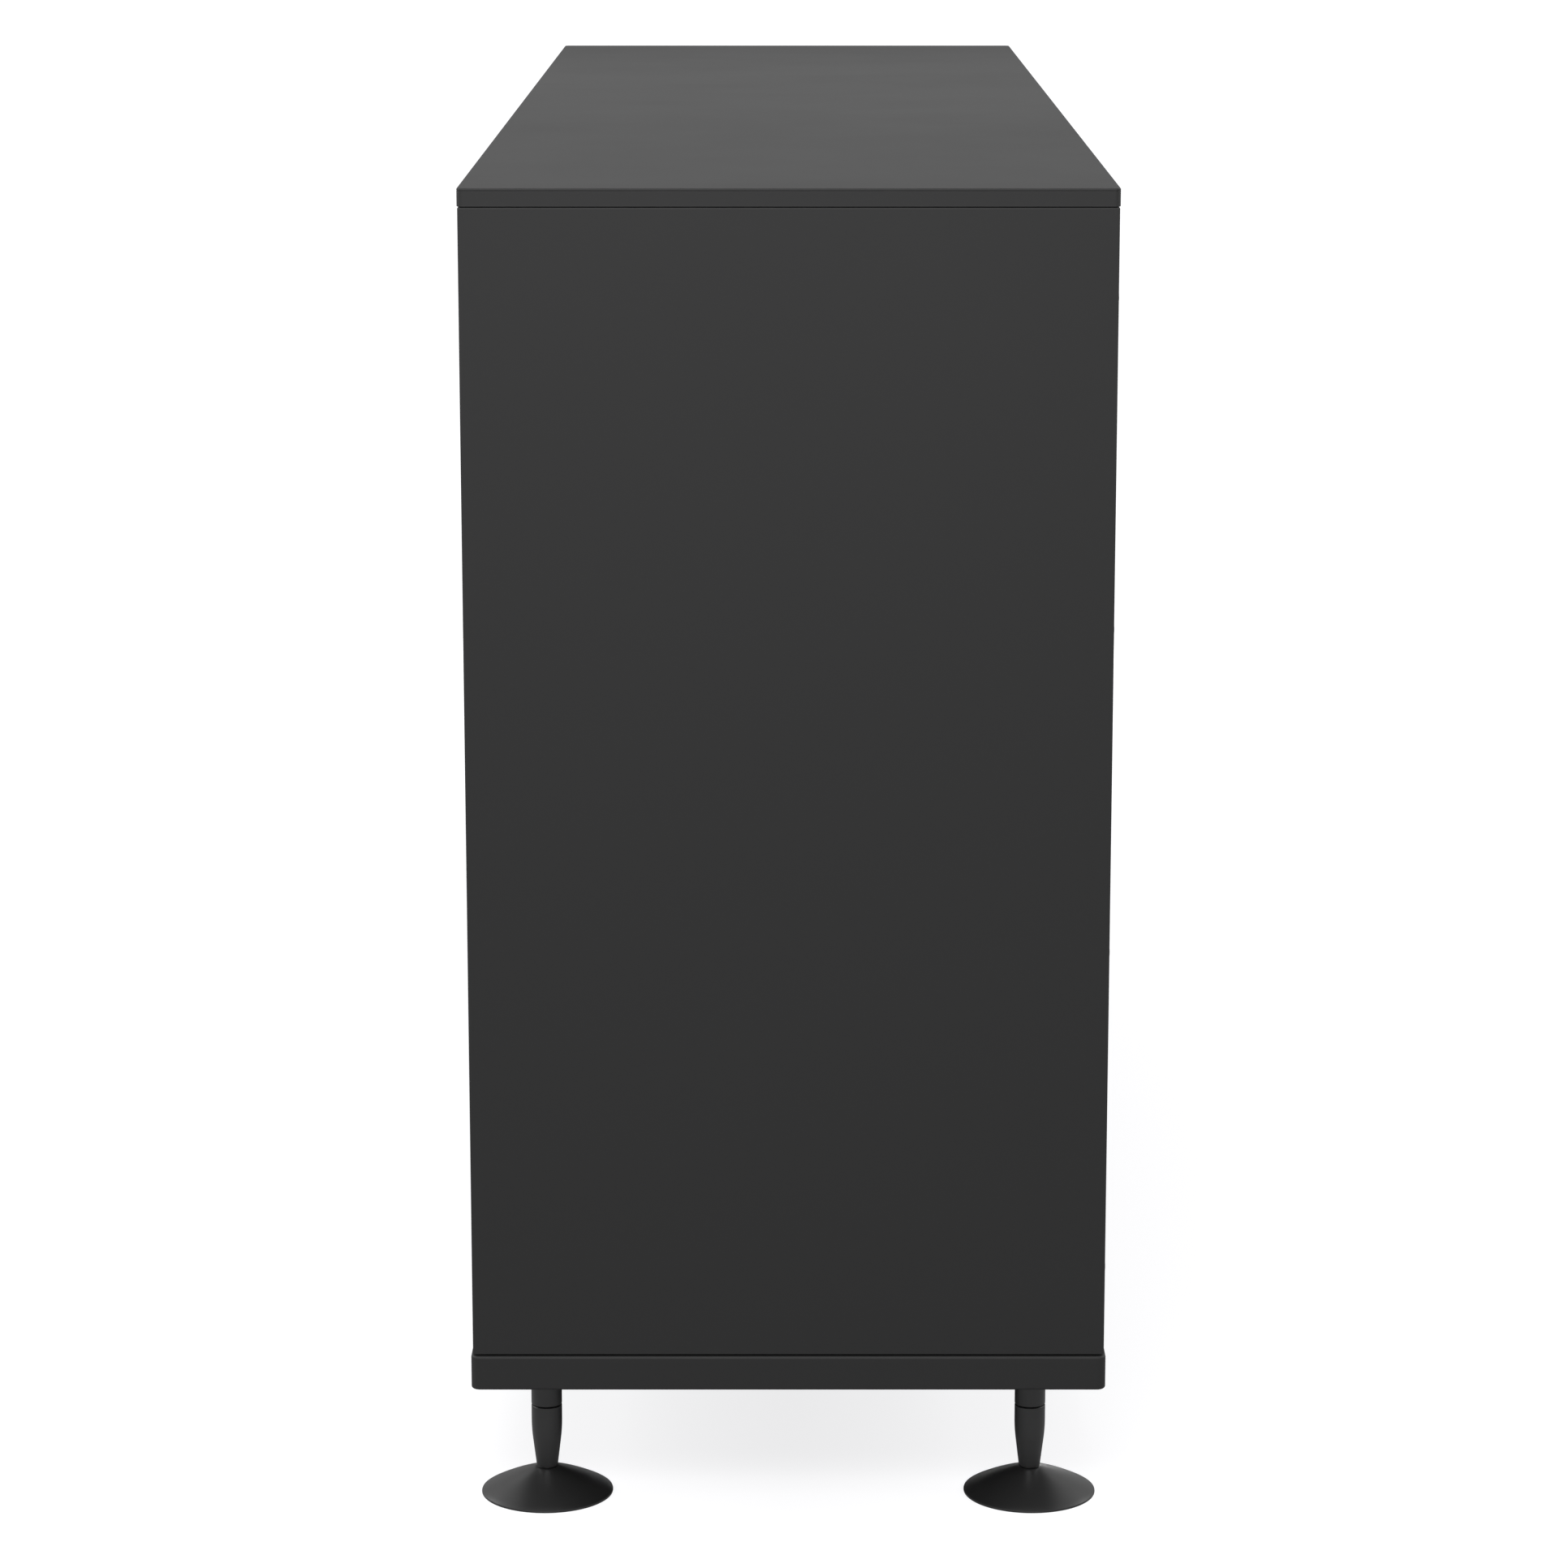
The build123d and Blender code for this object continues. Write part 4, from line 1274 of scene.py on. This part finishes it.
@dataclass
class DrawerFixings:
    """The screws inside a drawer box that hold its front."""

    from_side: float = 90 * MM
    from_edge: float = 45 * MM
    groove: float = 5.8 * MM  # how far the bottom reaches into the box's inner front

    def build(self, shop: Workshop, head: Piece) -> None:
        """Puts four heads inside the front wall of each box.

        Args:
            shop: the workshop.
            head: the screw head to copy.
        """
        for key in (f"{column.value}_{row.value}" for column in Column for row in Row):
            low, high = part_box(f"drawer_box_{key}")
            inner_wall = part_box(f"drawer_bottom_{key}")[0].y + self.groove
            places = [
                (Vector((x, inner_wall, z)), Vector((0, 1, 0)))
                for x in (low.x + self.from_side, high.x - self.from_side)
                for z in (low.z + self.from_edge, high.z - self.from_edge)
            ]
            screws = heads_at(head, places, f"front_screws_{key}")
            shop.fit(screws, f"drawer_{key}", Slot.ZINC_STEEL)


# ---------------------------------------------------------------- studio


@dataclass
class Softbox:
    """One soft area light."""

    name: str
    place: tuple[float, float, float]
    target: tuple[float, float, float]
    size: tuple[float, float]
    power: float

    def build(self) -> None:
        """Adds the light, turned to its target."""
        data = bpy.data.lights.new(self.name, "AREA")
        data.shape = "RECTANGLE"
        data.size, data.size_y = self.size
        data.energy = self.power
        lamp = bpy.data.objects.new(self.name, data)
        lamp.location = self.place
        direction = Vector(self.target) - Vector(self.place)
        lamp.rotation_euler = direction.to_track_quat("-Z", "Y").to_euler()
        lamp.visible_camera = False
        bpy.context.scene.collection.objects.link(lamp)


@dataclass
class Floor:
    """A wide pale floor: it takes a soft shadow, cast and also painted as a dimmer glow round the object,
    bounces little light and is clear from below.
    """

    radius: float = 60.0
    sides: int = 96
    shade: float = 0.27  # how strongly the camera sees light and shadow on it
    # The glow is lower round the object: a painted soft shadow.
    near_glow_painted_shadow: float = 0.81  # its own brightness to the camera, round the object
    far_glow: float = 1.0
    # Over this span the painted shadow in the glow fades out.
    painted_shadow_fade: Span = (1.2, 3.0)  # from how far to how far the glow grows
    bounce: float = 0.38  # how pale it is to the object, so that it doesn't fill every shadow

    def build(self) -> None:
        """Adds the floor."""
        bpy.ops.object.select_all(action="DESELECT")
        bpy.ops.mesh.primitive_circle_add(vertices=self.sides, radius=self.radius, fill_type="NGON")
        floor = bpy.context.object
        floor.name = "studio_floor"
        floor.data.materials.append(self.material())

    def material(self) -> bpy.types.Material:
        """Makes the floor's material.

        Returns:
            The material.
        """
        made = bpy.data.materials.new("studio_floor")
        made.use_nodes = True
        tree = Tree(made.node_tree.nodes, made.node_tree.links)
        shaded = tree.add("ShaderNodeBsdfDiffuse", {"Color": grey(self.shade)})
        place = tree.add("ShaderNodeTexCoord").outputs["Object"]
        reach = tree.add("ShaderNodeVectorMath", {0: place}, operation="LENGTH").outputs["Value"]
        # Glow dimmer near the object and brighter far off: a painted soft shadow round it.
        strength = tree.remap(reach, self.painted_shadow_fade, self.near_glow_painted_shadow, self.far_glow)
        glow_with_painted_shadow = tree.add("ShaderNodeEmission", {"Color": grey(1.0), "Strength": strength})
        seen = tree.add("ShaderNodeAddShader", {0: shaded.outputs[0], 1: glow_with_painted_shadow.outputs[0]})
        clear = tree.add("ShaderNodeBsdfTransparent")
        below = tree.add("ShaderNodeNewGeometry").outputs["Backfacing"]
        to_camera = tree.add("ShaderNodeMixShader", {0: below, 1: seen.outputs[0], 2: clear.outputs[0]})
        unseen = tree.add("ShaderNodeBsdfDiffuse", {"Color": grey(self.bounce)})
        ray = tree.add("ShaderNodeLightPath").outputs["Is Camera Ray"]
        mixed = tree.add("ShaderNodeMixShader", {0: ray, 1: unseen.outputs[0], 2: to_camera.outputs[0]})
        tree.links.new(mixed.outputs[0], made.node_tree.nodes["Material Output"].inputs[0])
        return made


@dataclass
class Studio:
    """Pale floor, soft light and the camera."""

    camera_place: tuple[float, float, float] = (3.9355, -0.003, 1.1783)
    camera_tilt: float = math.radians(11.98)
    lens: float = 110.8
    farthest_seen: float = 200.0
    sky: float = 0.42
    floor: Floor = field(default_factory=Floor)
    lights: tuple[Softbox, ...] = (
        Softbox("overhead", (0.2, 0.0, 3.2), (0.0, 0.0, 0.6), (4.0, 3.0), 4.0),
        Softbox("end_near", (2.0, -0.15, 1.75), (0.8, 0.0, 0.6), (1.2, 1.0), 15.0),
        Softbox("end_wide", (3.0, -0.3, 2.2), (0.8, 0.0, 0.6), (1.2, 1.0), 34.0),
        Softbox("far_top", (-1.2, 0.0, 1.4), (-0.8, 0.0, 0.9), (2.2, 0.4), 3.6),
        Softbox("far_low", (-2.6, 0.2, 0.5), (-0.8, 0.0, 0.45), (1.2, 0.7), 12.0),
        Softbox("front_side", (-0.3, -2.8, 1.8), (0.0, 0.0, 0.5), (2.4, 1.2), 60.0),
        Softbox("rear_side", (-0.3, 2.8, 1.8), (0.0, 0.0, 0.5), (2.4, 1.2), 48.0),
    )

    def build(self) -> None:
        """Sets up the whole studio."""
        bpy.context.scene.view_settings.view_transform = "Standard"
        self.build_camera()
        self.floor.build()
        self.build_sky()
        for light in self.lights:
            light.build()
        LOG.info("studio: %s lights", len(self.lights))

    def build_camera(self) -> None:
        """Adds the camera, which looks along -X and a little down."""
        data = bpy.data.cameras.new("camera")
        data.lens = self.lens
        data.clip_end = self.farthest_seen
        camera = bpy.data.objects.new("camera", data)
        camera.location = self.camera_place
        camera.rotation_euler = (QUARTER - self.camera_tilt, 0.0, QUARTER)
        bpy.context.scene.collection.objects.link(camera)
        bpy.context.scene.camera = camera

    def build_sky(self) -> None:
        """Adds an even sky: white to the camera and dimmer to the object."""
        world = bpy.data.worlds.new("studio_sky")
        world.use_nodes = True
        bpy.context.scene.world = world
        tree = Tree(world.node_tree.nodes, world.node_tree.links)
        ray = tree.add("ShaderNodeLightPath").outputs["Is Camera Ray"]
        background = world.node_tree.nodes["Background"]
        background.inputs["Color"].default_value = (1.0, 1.0, 1.0, 1.0)
        tree.links.new(tree.maths("MAXIMUM", self.sky, ray), background.inputs["Strength"])


# ---------------------------------------------------------------- the dresser


def main() -> None:
    """Builds the looks of the dresser in order."""
    logging.basicConfig(level=logging.INFO, format="%(name)s: %(message)s")
    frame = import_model()
    effects = Effects()
    shop = Workshop({slot: finish.material(effects) for slot, finish in FINISHES.items()})
    shop.dress_nodes(frame)
    for place in LegPlace:
        Leg(place).build(shop)
    LegHardware().build(shop)
    head = PanHead().master()
    BackScrews().build(shop, head)
    Slides().build(shop, head)
    DrawerFixings().build(shop, head)
    bpy.data.objects.remove(head)
    Studio().build()


if __name__ == "__main__":
    main()
